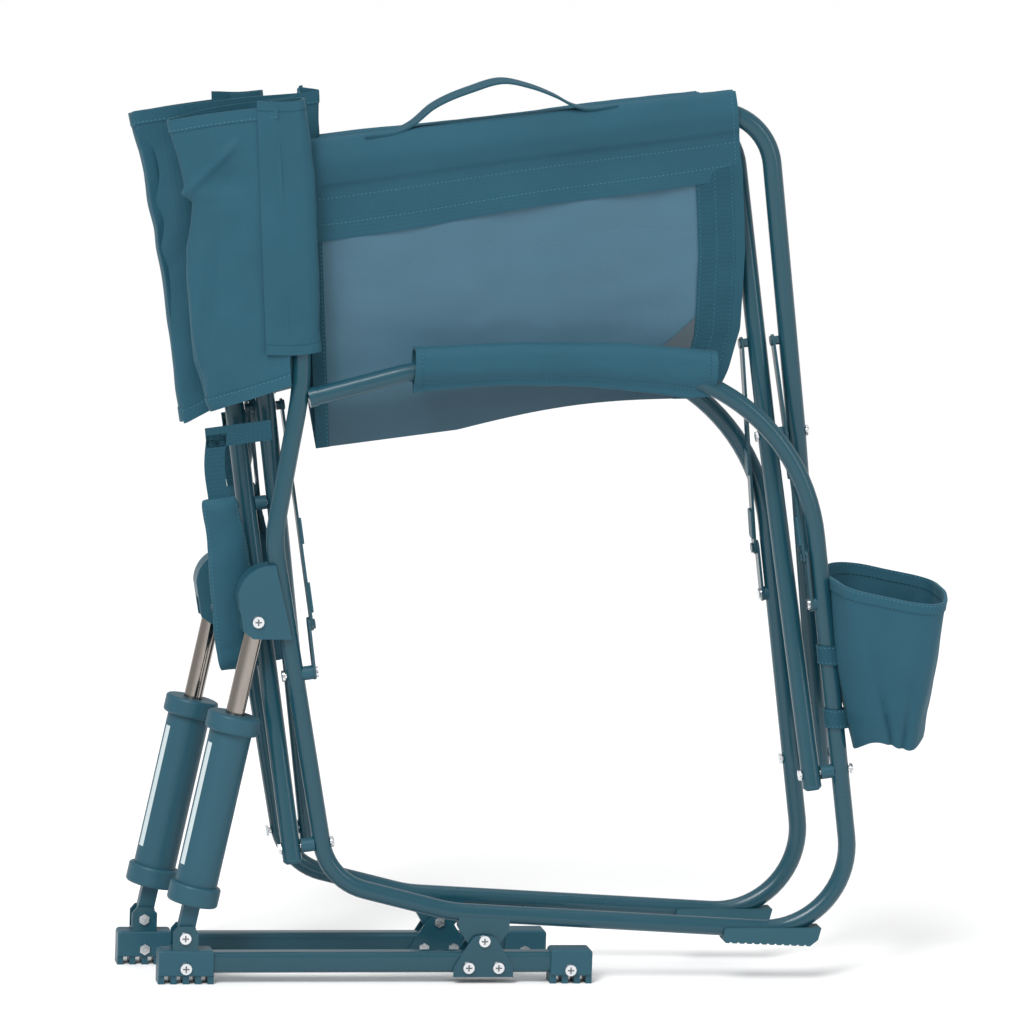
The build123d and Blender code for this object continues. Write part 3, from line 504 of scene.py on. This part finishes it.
for side_name, (side, shift, u_shift) in SIDES.items():
    scissor = "scissor_a" if side < 0 else "scissor_b"
    key = scissor[-1]
    hang_y, hang_n = -side * math.sin(SEAT_TILT), -math.cos(SEAT_TILT)

    def seat_point(s, t):
        d = SEAT_D0 + (SEAT_D1 - SEAT_D0) * t
        u = np.interp(d, *REAR_EDGE) * (1 - s) + np.interp(d, *FRONT_EDGE) * s + u_shift * (1 - t)
        arch = 9 * np.sin(math.pi * np.clip((s - 0.35) / 0.6, 0, 1)) * np.clip((d - 200) / 84, 0, 1)
        d = d - arch
        y = side * RAIL_Y + hang_y * d
        return at(u, y, RAIL_N + hang_n * d)

    def seat_wrinkle(s, t, p):
        hold = np.sin(math.pi * np.clip(t * 1.02, 0, 1)) ** 0.6
        wave = ripples(p, 85, 7.5, 3.0 + side, (1, 1, 0.5)) + ripples(p, 30, 1.8, 9.0, (0.7, 1, 1.2))
        pull = 1.4 * np.sin((s * 5.0 + t * 2.2) * math.pi) * np.clip(t - 0.35, 0, 1) * (1 - t)
        return (wave + pull) * hold * 0.8

    panel = Surface(seat_point, 110, 72, 1.1, (440, 272), seat_wrinkle, flip=side < 0)
    seat = Cloth(f"seat_panel_{side_name}")
    seat.slab(panel)
    # woven band on both faces and its binding along the front edge, and binding along the rear edge
    trim = Cloth(f"seat_trim_{side_name}")
    for band, lift, thick, wide, mat in ((band_s(BAND_IN, 0.981), 1.3, 1.3, 42, 1),
                                         (band_s(BAND_IN, 0.981), -1.3, 1.3, 42, 1),
                                         (band_s(EDGE_IN, 1.001), 0.0, 4.4, 9, 2),
                                         (band_s(-0.002, REAR_BINDING), 0.0, 3.4, 13, 2)):
        trim.slab(panel.strip(band, 90, 9 if mat == 1 else 5, lift, thick, (272, wide)), mat)
    for s_row in (BAND_IN + 0.006, 0.936, EDGE_IN - 0.004):
        for face in (1, -1):
            trim.stitches(panel, [(s_row, 0.1), (s_row, 1.0)], 3, 1.35, side=face)
    trim.stitches(panel, [(REAR_BINDING - 0.004, 0), (REAR_BINDING - 0.004, 1)], 3, 1.2)
    wavy = [(s, QUILT_T + 0.018 * math.sin(s * 15) - 0.05 * s + 0.03 * math.sin(s * 6 + 2))
            for s in np.linspace(0.03, 0.89, 60)]
    trim.stitches(panel, wavy, 3)
    if side < 0:
        # a grey triangle lies on the panel's corner next to the band
        corner = panel.strip(lambda a, b: (0.892 - 0.11 * b * a, 0.70 + 0.16 * a), 10, 6, 1.5, 0.8, (40, 40))
        trim.slab(corner, 4)
    # cloth_back gives the panel painted shade towards the sling's middle
    seat_obj = seat.build([cloth_back])
    trim_obj = trim.build([cloth, webbing, binding, thread, grey_corner])
    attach(seat_obj, f"seat_{side_name}")
    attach(trim_obj, f"seat_{side_name}")
    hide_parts(f"seat_{side_name}")

    def sleeve_point(s, t):
        depth = COVER_DEPTH - COVER_RISE * s + 1.5 * np.sin(s * 9)
        loop = spline(COVER_LOOP, 1 - np.abs(2 * t - 1))
        d = -loop[..., 1] * depth
        y_off = np.where(t < 0.5, 1, -1) * loop[..., 0]
        rear = COVER_REAR_U - COVER_FLARE * np.clip(d, 0, 90) / 90
        u = rear * (1 - s) + COVER_FRONT_U * s + u_shift
        y = side * RAIL_Y + hang_y * np.clip(d, 0, None) + y_off
        return at(u, y, RAIL_N + np.where(d > 0, hang_n * d, -d))

    def sleeve_wrinkle(s, t, p):
        return ripples(p, 45, 1.1, 20 + side, (0.6, 1, 1.3)) + ripples(p, 16, 0.35, 31)

    sleeve = Surface(sleeve_point, 110, 70, 1.0, (420, 190), sleeve_wrinkle, flip=True)
    cover = Cloth(f"seat_rail_cover_{side_name}")
    cover.slab(sleeve)
    for seam in SEAM_T:
        for t_row in (seam, 1 - seam):
            cover.stitches(sleeve, [(0.004, t_row), (0.996, t_row)], 1)
    for s_row in (0.988, 0.012):
        cover.stitches(sleeve, [(s_row, 0), (s_row, 1)], 1)
    cover_obj = cover.build([cloth, thread])
    rail = at(-240 + u_shift, side * RAIL_Y, RAIL_N)
    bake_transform(cover_obj)
    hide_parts(f"seat_sleeve_{key}")

# ------------------------------------------------------------------ back cloth
# Each half is a lobe behind its tube: out along the side, round the fold and back to the middle.
TOP_Z, TUBE_X, FOLD_Y = 868.0, -230.0, 23.0
LOBES = {
    # r: the lobe's depth behind the tube at each height h below the tube's top
    # near, bottom: h of the lower edge at the tube and at the fold
    # line: (distance behind the tube as a share of the depth, y) from the sleeve to the middle
    "right": dict(h=[0, 20, 84, 92, 135, 193, 247, 289, 306], r=[121, 119, 106, 99, 107, 104, 101, 93, 86],
                  bottom=296, near=268,
                  line=[(0.13, -58.2), (0.34, -54.5), (0.62, -49.0), (0.86, -41.0), (0.985, -34.0), (1.0, -28.0),
                        (0.975, -20.0), (0.86, -13.0), (0.62, -5.5), (0.30, -2.0), (0.02, 2.5), (-0.13, 16.0)]),
    "left": dict(h=[0, 100, 190, 320], r=[122, 107, 95, 80], bottom=314, near=276,
                 line=[(0.13, 58.2), (0.34, 54.5), (0.62, 49.0), (0.86, 41.0), (0.985, 34.0), (1.0, 27.0),
                       (0.975, 20.0), (0.88, 13.0), (0.62, 5.5), (0.30, 4.5), (0.02, 5.5), (-0.40, 17.5)]),
}
# the sleeve on the back tube, a loose loop that ends in a double seam: (distance behind the tube, y outwards)
TUBE_LOOP = [(20.0, 10.8), (10.0, 11.4), (0.0, 11.6), (-9.0, 9.6), (-14.5, 3.5), (-14.5, -3.5), (-9.0, -9.4),
             (0.0, -11.0), (10.0, -11.2), (22.0, -11.6), (36.0, -10.6)]
TUBE_COVER_TOP, TUBE_COVER_BOTTOM = -5.0, 241.0


def back_point(side, shift, r, y, h):
    """A point r behind the back tube's axis, at y, and h below the tube's top."""
    r, y, h = (np.asarray(v)[..., None] for v in (r, y, h))
    return np.array([TUBE_X + shift, 0, TOP_Z]) + r * BACK_REAR - h * BACK_DIR + y * np.array([0, 1, 0])


for side_name, (side, shift, u_shift) in SIDES.items():
    shape = LOBES[side_name]
    near = side < 0

    def lobe_point(s, t):
        c = spline(shape["line"], s)
        share = c[..., 0]
        low = shape["near"] + (shape["bottom"] - shape["near"]) * np.clip(share, 0, 1)
        droop = 3.0 * np.sin(math.pi * s) + (0 if near else 7 * np.clip(share, 0, 1))
        high = -11.0 * np.clip((s - 0.5) * 2, 0, 1) ** 2 + (9.0 if near else 2.0) * np.clip(share, 0, 1) ** 2
        h = high + (low - high) * t + droop * (1 - t) * 0.8
        depth = np.interp(np.clip(h, 0, 330), shape["h"], shape["r"])
        return back_point(side, shift, share * depth, c[..., 1], h)

    def near_creases(s, p):
        """The bent crease under the near lobe's top edge, the dent in it and the long fold below."""
        x, z = p[..., 0], p[..., 2]
        ridge = np.abs((z - 796) - (34 - np.abs(x + 285) * 1.1))
        dent = np.exp(-((x + 292) / 22) ** 2 - ((z - 795) / 20) ** 2)
        long_fold = np.exp(-((x + 306 - (z - 700) * 0.06) / 7) ** 2) * np.clip((770 - z) / 60, 0, 1)
        # only on the outer wall, and clear of the tube's sleeve
        outer = np.clip((0.46 - s) * 12, 0, 1) * np.clip((s - 0.055) / 0.06, 0, 1)
        return (4.6 * np.exp(-(ridge / 5.5) ** 2) - 6.5 * dent - 3.8 * long_fold) * outer

    def lobe_wrinkle(s, t, p):
        ends = np.clip(np.minimum(s / 0.10, (1 - s) / 0.10), 0, 1) * np.clip(t * 8, 0.25, 1)
        fold = ripples(p, 62, 6.5, 40 + side, (1.1, 0.2, 0.5)) + ripples(p, 24, 2.2, 50, (1, 0.3, 0.8))
        return fold * ends + (near_creases(s, p) if near else 0)

    lobe = Surface(lobe_point, 130, 90, 1.2, (265, 290), lobe_wrinkle, flip=not near)
    # the cloth's y isn't rippled next to the fold, so that every row crosses the fold between the same columns
    smooth_y = lobe_point(lobe.s, lobe.t)[..., 1]
    hold = np.clip(1 - (np.abs(np.abs(smooth_y) - FOLD_Y) - 4) / 5, 0, 1)
    lobe.p[..., 1] += (smooth_y - lobe.p[..., 1]) * hold
    lobe.normals()
    back = Cloth(f"back_cloth_{side_name}")
    back.slab(lobe)
    for band in (band_t(-0.003, 0.040), band_t(0.958, 1.003)):
        back.slab(lobe.strip(band, 130, 5, 0.0, 2.6, (265, 12)))
    for t_row in (0.034, 0.963):
        for face in (1, -1):
            back.stitches(lobe, [(0, t_row), (1, t_row)], 1, 0.75, side=face)
    back_obj = back.build([cloth, thread])
    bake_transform(back_obj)
    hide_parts(f"back_outer_{side_name}", f"back_inner_{side_name}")

    def tube_cover_point(s, t):
        c = spline([(r, side * -y) for r, y in TUBE_LOOP], s)
        flare = 1 + (0.45 * np.clip(t * 3.5, 0, 1) - 0.22) * np.clip(-c[..., 0] / 12, 0, 1)
        h = TUBE_COVER_TOP + np.cos(s * 9) + (TUBE_COVER_BOTTOM - TUBE_COVER_TOP) * t
        return back_point(side, shift, c[..., 0] * flare, side * SIDE_Y + c[..., 1], h)

    def tube_cover_wrinkle(s, t, p):
        return ripples(p, 38, 1.2, 60 + side, (1, 1, 0.8)) + ripples(p, 15, 0.4, 66)

    wrap = Surface(tube_cover_point, 70, 90, 1.2, (110, 248), tube_cover_wrinkle, flip=near)
    tube_cover = Cloth(f"back_tube_cover_{side_name}")
    tube_cover.slab(wrap)
    for s_row in (0.895, 0.985):
        tube_cover.stitches(wrap, [(s_row, 0.004), (s_row, 0.996)], 1)
    for band in (band_t(0.965, 1.002), band_t(-0.003, 0.034)):
        tube_cover.slab(wrap.strip(band, 70, 4, 0.0, 2.4, (110, 9)))
    tube_cover_obj = tube_cover.build([cloth, thread])
    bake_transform(tube_cover_obj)
    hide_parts(f"back_sleeve_{side_name}")

# ------------------------------------------------------------------ padded arms
ARM_LINE = [(-102, 612.3), (-18, 617.8), (82, 619.2), (150, 616.5), (198, 613)]     # (x, z) along the arm
# half of the pad's section, from its top to the seam under the arm: (y, z)
PAD_HALF = [(0, 21.5), (7.5, 20), (12, 14.5), (13.2, 5), (12, -5), (8, -12.5), (3.6, -17), (2.3, -20), (2.2, -24.5),
            (0, -25.5)]
PAD_SECTION = np.array(PAD_HALF + [(-y, z) for y, z in PAD_HALF[-2:0:-1]] + [PAD_HALF[0]])
PAD_HANG = ([0, 0.28, 0.6, 0.92, 1], [0.92, 0.80, 0.86, 1.12, 0.90])     # how far its lower half hangs, by s

for side_name, (side, shift, u_shift) in SIDES.items():
    def pad_point(s, t):
        c = spline(ARM_LINE, s)
        ring = spline(PAD_SECTION, t)
        z = np.where(ring[..., 1] < 0, ring[..., 1] * np.interp(s, *PAD_HANG), ring[..., 1])
        z = z * (1 - 0.03 * np.cos(2 * math.pi * s))
        return np.stack([c[..., 0] + shift, side * SIDE_Y + ring[..., 0], c[..., 1] + z], -1)

    def pad_wrinkle(s, t, p):
        return (ripples(p, 34, 1.2, 70 + side, (0.55, 1, 1.4)) + ripples(p, 14, 0.45, 77, (1, 1, 1.5))
                - 0.6) * np.clip(np.minimum(s, 1 - s) * 14, 0.2, 1)

    pad = Surface(pad_point, 130, 76, 1.4, (300, 100), pad_wrinkle)
    arm = Cloth(f"arm_cover_{side_name}")
    arm.slab(pad)
    for band in (band_s(-0.002, 0.02), band_s(0.98, 1.002)):
        arm.slab(pad.strip(band, 76, 4, 0.0, 2.8, (100, 6)))
    for t_row in (0.405, 0.595):
        arm.stitches(pad, [(0.012, t_row), (0.988, t_row)], 1)
    for s_row in (0.022, 0.978):
        arm.stitches(pad, [(s_row, 0), (s_row, 1)], 1)
    arm_obj = arm.build([cloth, thread])
    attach(arm_obj, f"side_{side_name}")
    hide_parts(f"arm_pad_{side_name}")

# ------------------------------------------------------------------ cup holder
CUP_T = [0, 0.18, 0.55, 1.0]      # shares of the wall's height, where the next three are given
CUP_RX, CUP_RY, CUP_X = [33, 40, 49.5, 57.5], [31, 38, 45, 50], [391, 387.5, 383, 381.5]
CUP_LIP, CUP_FOOT = 404, 245      # heights
# creases in the wall: (s at the lip, how far each leans to the foot, depth)
CUP_CREASES = ((0.655, 0.075, 4.2), (0.845, -0.060, 3.6), (0.93, 0.05, 2.6), (0.30, 0.05, 3.0))
TAB_Z, TAB_HIGH, TAB_R, TAB_REACH = (332.0, 268.0), 19, 10.6, 3.0


def cup_point(s, t):
    turn = s * 2 * math.pi
    rx, ry, cx = (np.interp(t, CUP_T, values) for values in (CUP_RX, CUP_RY, CUP_X))
    power = 2.6 + 1.4 * t
    square = 1 / (np.abs(np.cos(turn)) ** power + np.abs(np.sin(turn)) ** power) ** (1 / power)
    facet = 1 + 0.028 * np.cos(6 * turn + 0.5) * (1 - 0.5 * t)
    x = rx * np.cos(turn) * square * (1 - 0.03 * np.cos(3 * turn + 1)) * facet
    y = ry * np.sin(turn) * square * facet
    lip = CUP_LIP - 0.128 * x + 0.16 * y + 1.6 * np.cos(3 * turn + 0.6)
    foot = CUP_FOOT + 0.05 * x + 5 * np.cos(3 * turn + 0.3)
    return np.stack([cx + x, -SIDE_Y + y, foot + (lip - foot) * t], -1)


def cup_wrinkle(s, t, p):
    folds = ripples(p, 40, 5.6, 90, (1, 1, 0.30)) + ripples(p, 15, 1.6, 95, (1, 1, 0.5))
    for start, lean, deep in CUP_CREASES:
        folds = folds - deep * np.exp(-((s - start - lean * (1 - t)) / 0.013) ** 2) * np.clip(1.3 - 1.4 * t, 0, 1)
    return folds * np.clip(1.15 - t, 0.18, 1)


cup_wall = Surface(cup_point, 121, 60, 1.5, (340, 158), cup_wrinkle)
cup_wall.p[-1], cup_wall.n[-1] = cup_wall.p[0], cup_wall.n[0]
cup = Cloth("cup_holder_cloth")
cup.slab(cup_wall)
cup.slab(cup_wall.strip(band_t(0.935, 1.002), 121, 5, 0.2, 3.4, (340, 10)))
for face in (1, -1):
    cup.stitches(cup_wall, [(0, 0.932), (1, 0.932)], 1, 0.1, side=face)
    cup.stitches(cup_wall, [(0, 0.990), (1, 0.990)], 1, 1.3, side=face)
base_ring = cup_wall.p[:-1, 0]
base_middle = base_ring.mean(0)
rings = np.stack([base_middle + (base_ring - base_middle) * k for k in (1.0, 0.96, 0.6, 0.02)])
rings[2:, :, 2] += 2.0
bottom = Surface.__new__(Surface)
bottom.p = np.concatenate([rings, rings[:, :1]], 1)
bottom.n = np.broadcast_to(np.array([0, 0, 1.0]), bottom.p.shape)
bottom.th, bottom.uv = 2.0, bottom.p[..., :2] / 1000
cup.slab(bottom, 2, under=0)
for tab_z in TAB_Z:
    tab_x = 341.6 - (tab_z - 215.1) * math.tan(LEAN)

    def tab_point(s, t):
        """Webbing round the tube, pulled out towards the cup."""
        turn = (0.06 + 0.88 * s) * 2 * math.pi
        reach = np.where(np.cos(turn) > 0.4, TAB_REACH * np.cos(turn), 0)
        up = (t - 0.5) * TAB_HIGH
        return np.stack([tab_x - up * math.tan(LEAN) + (TAB_R + reach) * np.cos(turn),
                         -SIDE_Y + TAB_R * np.sin(turn), tab_z + up], -1)

    tab = Surface(tab_point, 40, 8, 1.4, (72, TAB_HIGH))
    cup.slab(tab, 3)
    for t_row in (0.1, 0.9):
        cup.stitches(tab, [(0.02, t_row), (0.98, t_row)], 1)
cup_obj = cup.build([cloth, thread, cloth_back, webbing])
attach(cup_obj, "side_right")
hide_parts("cup_holder")

# ------------------------------------------------------------------ carry handle
SLEEVE_TOP = RAIL_N + 17.5
HANDLE_WIDE = 24
# (u, height above the rail's cover) along the handle
HANDLE = [(-393, 0.3), (-378, 0.3), (-362, 1.0), (-345, 6.5), (-322, 21.0), (-282, 33.5), (-250, 38.0),
          (-226, 30.5), (-200, 17.0), (-182, 5.0), (-170, 1.0), (-154, 0.3), (-140, 0.3)]


def handle_point(s, t):
    c = spline(HANDLE, s)
    twist = 2.0 * np.sin(s * 7)
    lift = 3.2 * (t - 0.5) * np.sin(s * math.pi)
    return at(c[..., 0], -RAIL_Y + (t - 0.5) * HANDLE_WIDE + twist, SLEEVE_TOP + c[..., 1] + lift)


strap_line = Surface(handle_point, 120, 9, 1.9, (265, HANDLE_WIDE))
handle = Cloth("handle_webbing")
handle.slab(strap_line)
sewn = [[(s_from, t_row), (s_to, t_row)] for t_row in (0.12, 0.88) for s_from, s_to in ((0.0, 0.09), (0.91, 1.0))]
sewn += [[(s_row, 0.1), (s_row, 0.9)] for s_row in (0.012, 0.085, 0.915, 0.988)]
for row in sewn:
    for face in (1, -1):
        handle.stitches(strap_line, row, 1, side=face)
handle_obj = handle.build([webbing, thread])
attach(handle_obj, "handle")
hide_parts("carry_handle")

# ------------------------------------------------------------------ rear padded strap
STRAP_WIDE, OPEN_HALF = 20, 295.0
STRAP_ASIDE = {"right": 0.0, "left": 28.0}      # the far half hangs this much further forwards
TAB_FAR, TAB_NEAR = 56.0, 9.0                   # the tab's ends, from the hinge and from the strap
PAD_FROM, PAD_TO = 66, 243                      # the pad's ends, along the strap
STRAP_LINE = [(2, 0), (-3, 30), (-2, 70), (2, 120), (3, 170), (1, 232)]        # (u, d down from the hinge)
PAD_SAG = ([0, 70, 120, 170, 243], [2, -2, 2, 3, 1])                           # u of its middle at each d

for side_name, (side, shift, u_shift) in SIDES.items():
    hinge = np.array(JOINTS[f"strap_{side_name}"]["pos_m"]) * 1000 - HOME
    tilt = math.asin(SIDE_Y / OPEN_HALF)
    strap_dir = np.array([0, -side * math.sin(tilt), 0]) - N * math.cos(tilt)
    thick_dir = np.array([0, math.cos(tilt), 0]) - side * N * math.sin(tilt)
    aside = STRAP_ASIDE[side_name]

    def strap_point(s, t):
        c = spline([(d, u + aside) for u, d in STRAP_LINE], s)
        return hinge + c[..., :1] * strap_dir + (c[..., 1:] + ((t - 0.5) * STRAP_WIDE)[..., None]) * U

    strap = Cloth(f"rear_strap_{side_name}")
    strap.slab(Surface(strap_point, 60, 7, 2.2, (232, STRAP_WIDE)))

    def strap_tab(s, t):
        """The tab that ties the strap to the tube."""
        off = TAB_FAR + (aside - TAB_NEAR - TAB_FAR) * s
        return hinge + off[..., None] * U + ((t - 0.35) * STRAP_WIDE)[..., None] * strap_dir

    strap.slab(Surface(strap_tab, 14, 6, 2.2, (60, STRAP_WIDE)))

    def pad_skin(s, t):
        d = PAD_FROM + (PAD_TO - PAD_FROM) * s
        turn = t * 2 * math.pi
        ends = np.clip(np.minimum(s / 0.05, (1 - s) / 0.07), 0.0, 1) ** 0.5
        wide = (19.5 - 2 * np.cos(s * 5)) * (0.90 + 0.10 * ends)
        thick = (7.2 * ends + 0.8) * (0.8 + 0.2 * np.cos(turn * 2 + math.pi))
        sag = aside + np.interp(d, *PAD_SAG)
        across = np.sign(np.cos(turn)) * np.abs(np.cos(turn)) ** 0.8 * wide
        over = np.sign(np.sin(turn)) * np.abs(np.sin(turn)) ** 0.9 * thick
        return hinge + d[..., None] * strap_dir + (sag + across)[..., None] * U + over[..., None] * thick_dir

    def pad_folds(s, t, p):
        return ripples(p, 26, 1.3, 110 + side, (1, 1, 0.9)) + ripples(p, 11, 0.4, 118)

    skin = Surface(pad_skin, 80, 61, 1.0, (177, 86), pad_folds)
    skin.p[:, -1], skin.n[:, -1] = skin.p[:, 0], skin.n[:, 0]
    strap.slab(skin, 1)
    for t_row in (0.085, 0.415, 0.585, 0.915):
        strap.stitches(skin, [(0.03, t_row), (0.97, t_row)], 2)
    strap_obj = strap.build([webbing, cloth, thread])
    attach(strap_obj, f"strap_{side_name}")
    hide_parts(f"strap_{side_name}")

# ------------------------------------------------------------------ plain label strips on the shocks
SHOCK_TOP, SHOCK_LOW = (-250.5, 362.3), (-313.3, 46.3)      # (x, z) of the right shock's pivots
LABEL_FROM, LABEL_TO, LABEL_R = 72.0, 196.0, 21.15          # along the shock, and from its axis
LABEL_TURN, LABEL_HALF = 0.42, 0.17                         # radians round it

for side_name, (side, shift, u_shift) in SIDES.items():
    top, low = (np.array([x + shift, side * SIDE_Y, z]) for x, z in (SHOCK_TOP, SHOCK_LOW))
    up = (top - low) / np.linalg.norm(top - low)
    rear = np.array([-up[2], 0, up[0]])

    def label_point(s, t):
        turn = LABEL_TURN + (t - 0.5) * 2 * LABEL_HALF
        centre = low + (LABEL_FROM + (LABEL_TO - LABEL_FROM) * s)[..., None] * up
        return centre + LABEL_R * (np.cos(turn)[..., None] * rear - np.sin(turn)[..., None] * np.array([0, 1, 0]))

    tag = Cloth(f"plain_strip_{side_name}")
    tag.slab(Surface(label_point, 30, 14, 0.25, (124, 13)))
    tag_obj = tag.build([label])
    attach(tag_obj, f"damper_{side_name}")

# ------------------------------------------------------------------ floor, light, camera
FLOOR = 90.0                # metres from the middle to its edges, so that its far edge is out of view
floor_mesh = bpy.data.meshes.new("floor")
floor_mesh.from_pydata([(-FLOOR, -FLOOR, 0), (FLOOR, -FLOOR, 0), (FLOOR, FLOOR, 0), (-FLOOR, FLOOR, 0)], [],
                       [(0, 1, 2, 3)])
floor = bpy.data.objects.new("floor", floor_mesh)
bpy.context.scene.collection.objects.link(floor)
floor_material, _, _, floor_shader = new_material("pale_floor")
floor_shader.inputs["Base Color"].default_value = (0.93, 0.93, 0.93, 1)
floor_shader.inputs["Roughness"].default_value = 0.75
floor_shader.inputs["Specular IOR Level"].default_value = 0.2
floor_mesh.materials.append(floor_material)

bpy.context.scene.view_settings.view_transform = "Standard"
world = bpy.data.worlds.new("studio")
bpy.context.scene.world = world
world.use_nodes = True
background = world.node_tree.nodes["Background"]
background.inputs["Color"].default_value = (1.0, 1.0, 1.0, 1)
background.inputs["Strength"].default_value = 0.62


def area_light(name, where, aim, size, power):
    """A soft box at where, turned to aim, size metres across, of power watts."""
    data = bpy.data.lights.new(name, "AREA")
    data.shape = "RECTANGLE"
    data.size, data.size_y = size
    data.energy = power
    light = bpy.data.objects.new(name, data)
    light.location = where
    light.rotation_euler = (Vector(aim) - Vector(where)).to_track_quat("-Z", "Y").to_euler()
    bpy.context.scene.collection.objects.link(light)


sun_data = bpy.data.lights.new("soft_sun", "SUN")
sun_data.energy = 1.9
sun_data.angle = math.radians(28)
sun = bpy.data.objects.new("soft_sun", sun_data)
sun.rotation_euler = Vector((0.45, 0.75, -1.15)).to_track_quat("-Z", "Y").to_euler()
bpy.context.scene.collection.objects.link(sun)
area_light("key", (-1.6, -2.6, 2.6), (0, 0, 0.4), (0.7, 1.6), 40)
area_light("fill", (2.6, -2.2, 1.5), (0, 0, 0.45), (0.5, 1.8), 16)
area_light("top", (0.2, 0.3, 3.2), (0, 0, 0.4), (1.6, 0.8), 16)

# The camera stands 6.3 m off on the chair's right, turned 10 degrees towards its back and
# raised 8 degrees, and is rolled by 2 degrees.
azimuth, elevation, roll, distance = math.radians(-10), math.radians(8), math.radians(2), 6.3
back_v = Vector((math.sin(azimuth) * math.cos(elevation), -math.cos(azimuth) * math.cos(elevation),
                 math.sin(elevation)))
right_v = Vector((math.cos(azimuth), math.sin(azimuth), 0))
up_v = back_v.cross(right_v)
cam_right = right_v * math.cos(roll) + up_v * math.sin(roll)
cam_up = up_v * math.cos(roll) - right_v * math.sin(roll)
target = Vector(metres((0.0, -46.5, 471.9)))
camera_data = bpy.data.cameras.new("camera")
camera_data.lens = 224.9
camera_data.sensor_width = 36
camera = bpy.data.objects.new("camera", camera_data)
camera.matrix_world = Matrix((
    (cam_right.x, cam_up.x, back_v.x, 0), (cam_right.y, cam_up.y, back_v.y, 0),
    (cam_right.z, cam_up.z, back_v.z, 0), (0, 0, 0, 1)))
camera.location = target + back_v * distance
camera_data.clip_start, camera_data.clip_end = 0.05, 60
bpy.context.scene.collection.objects.link(camera)
bpy.context.scene.camera = camera
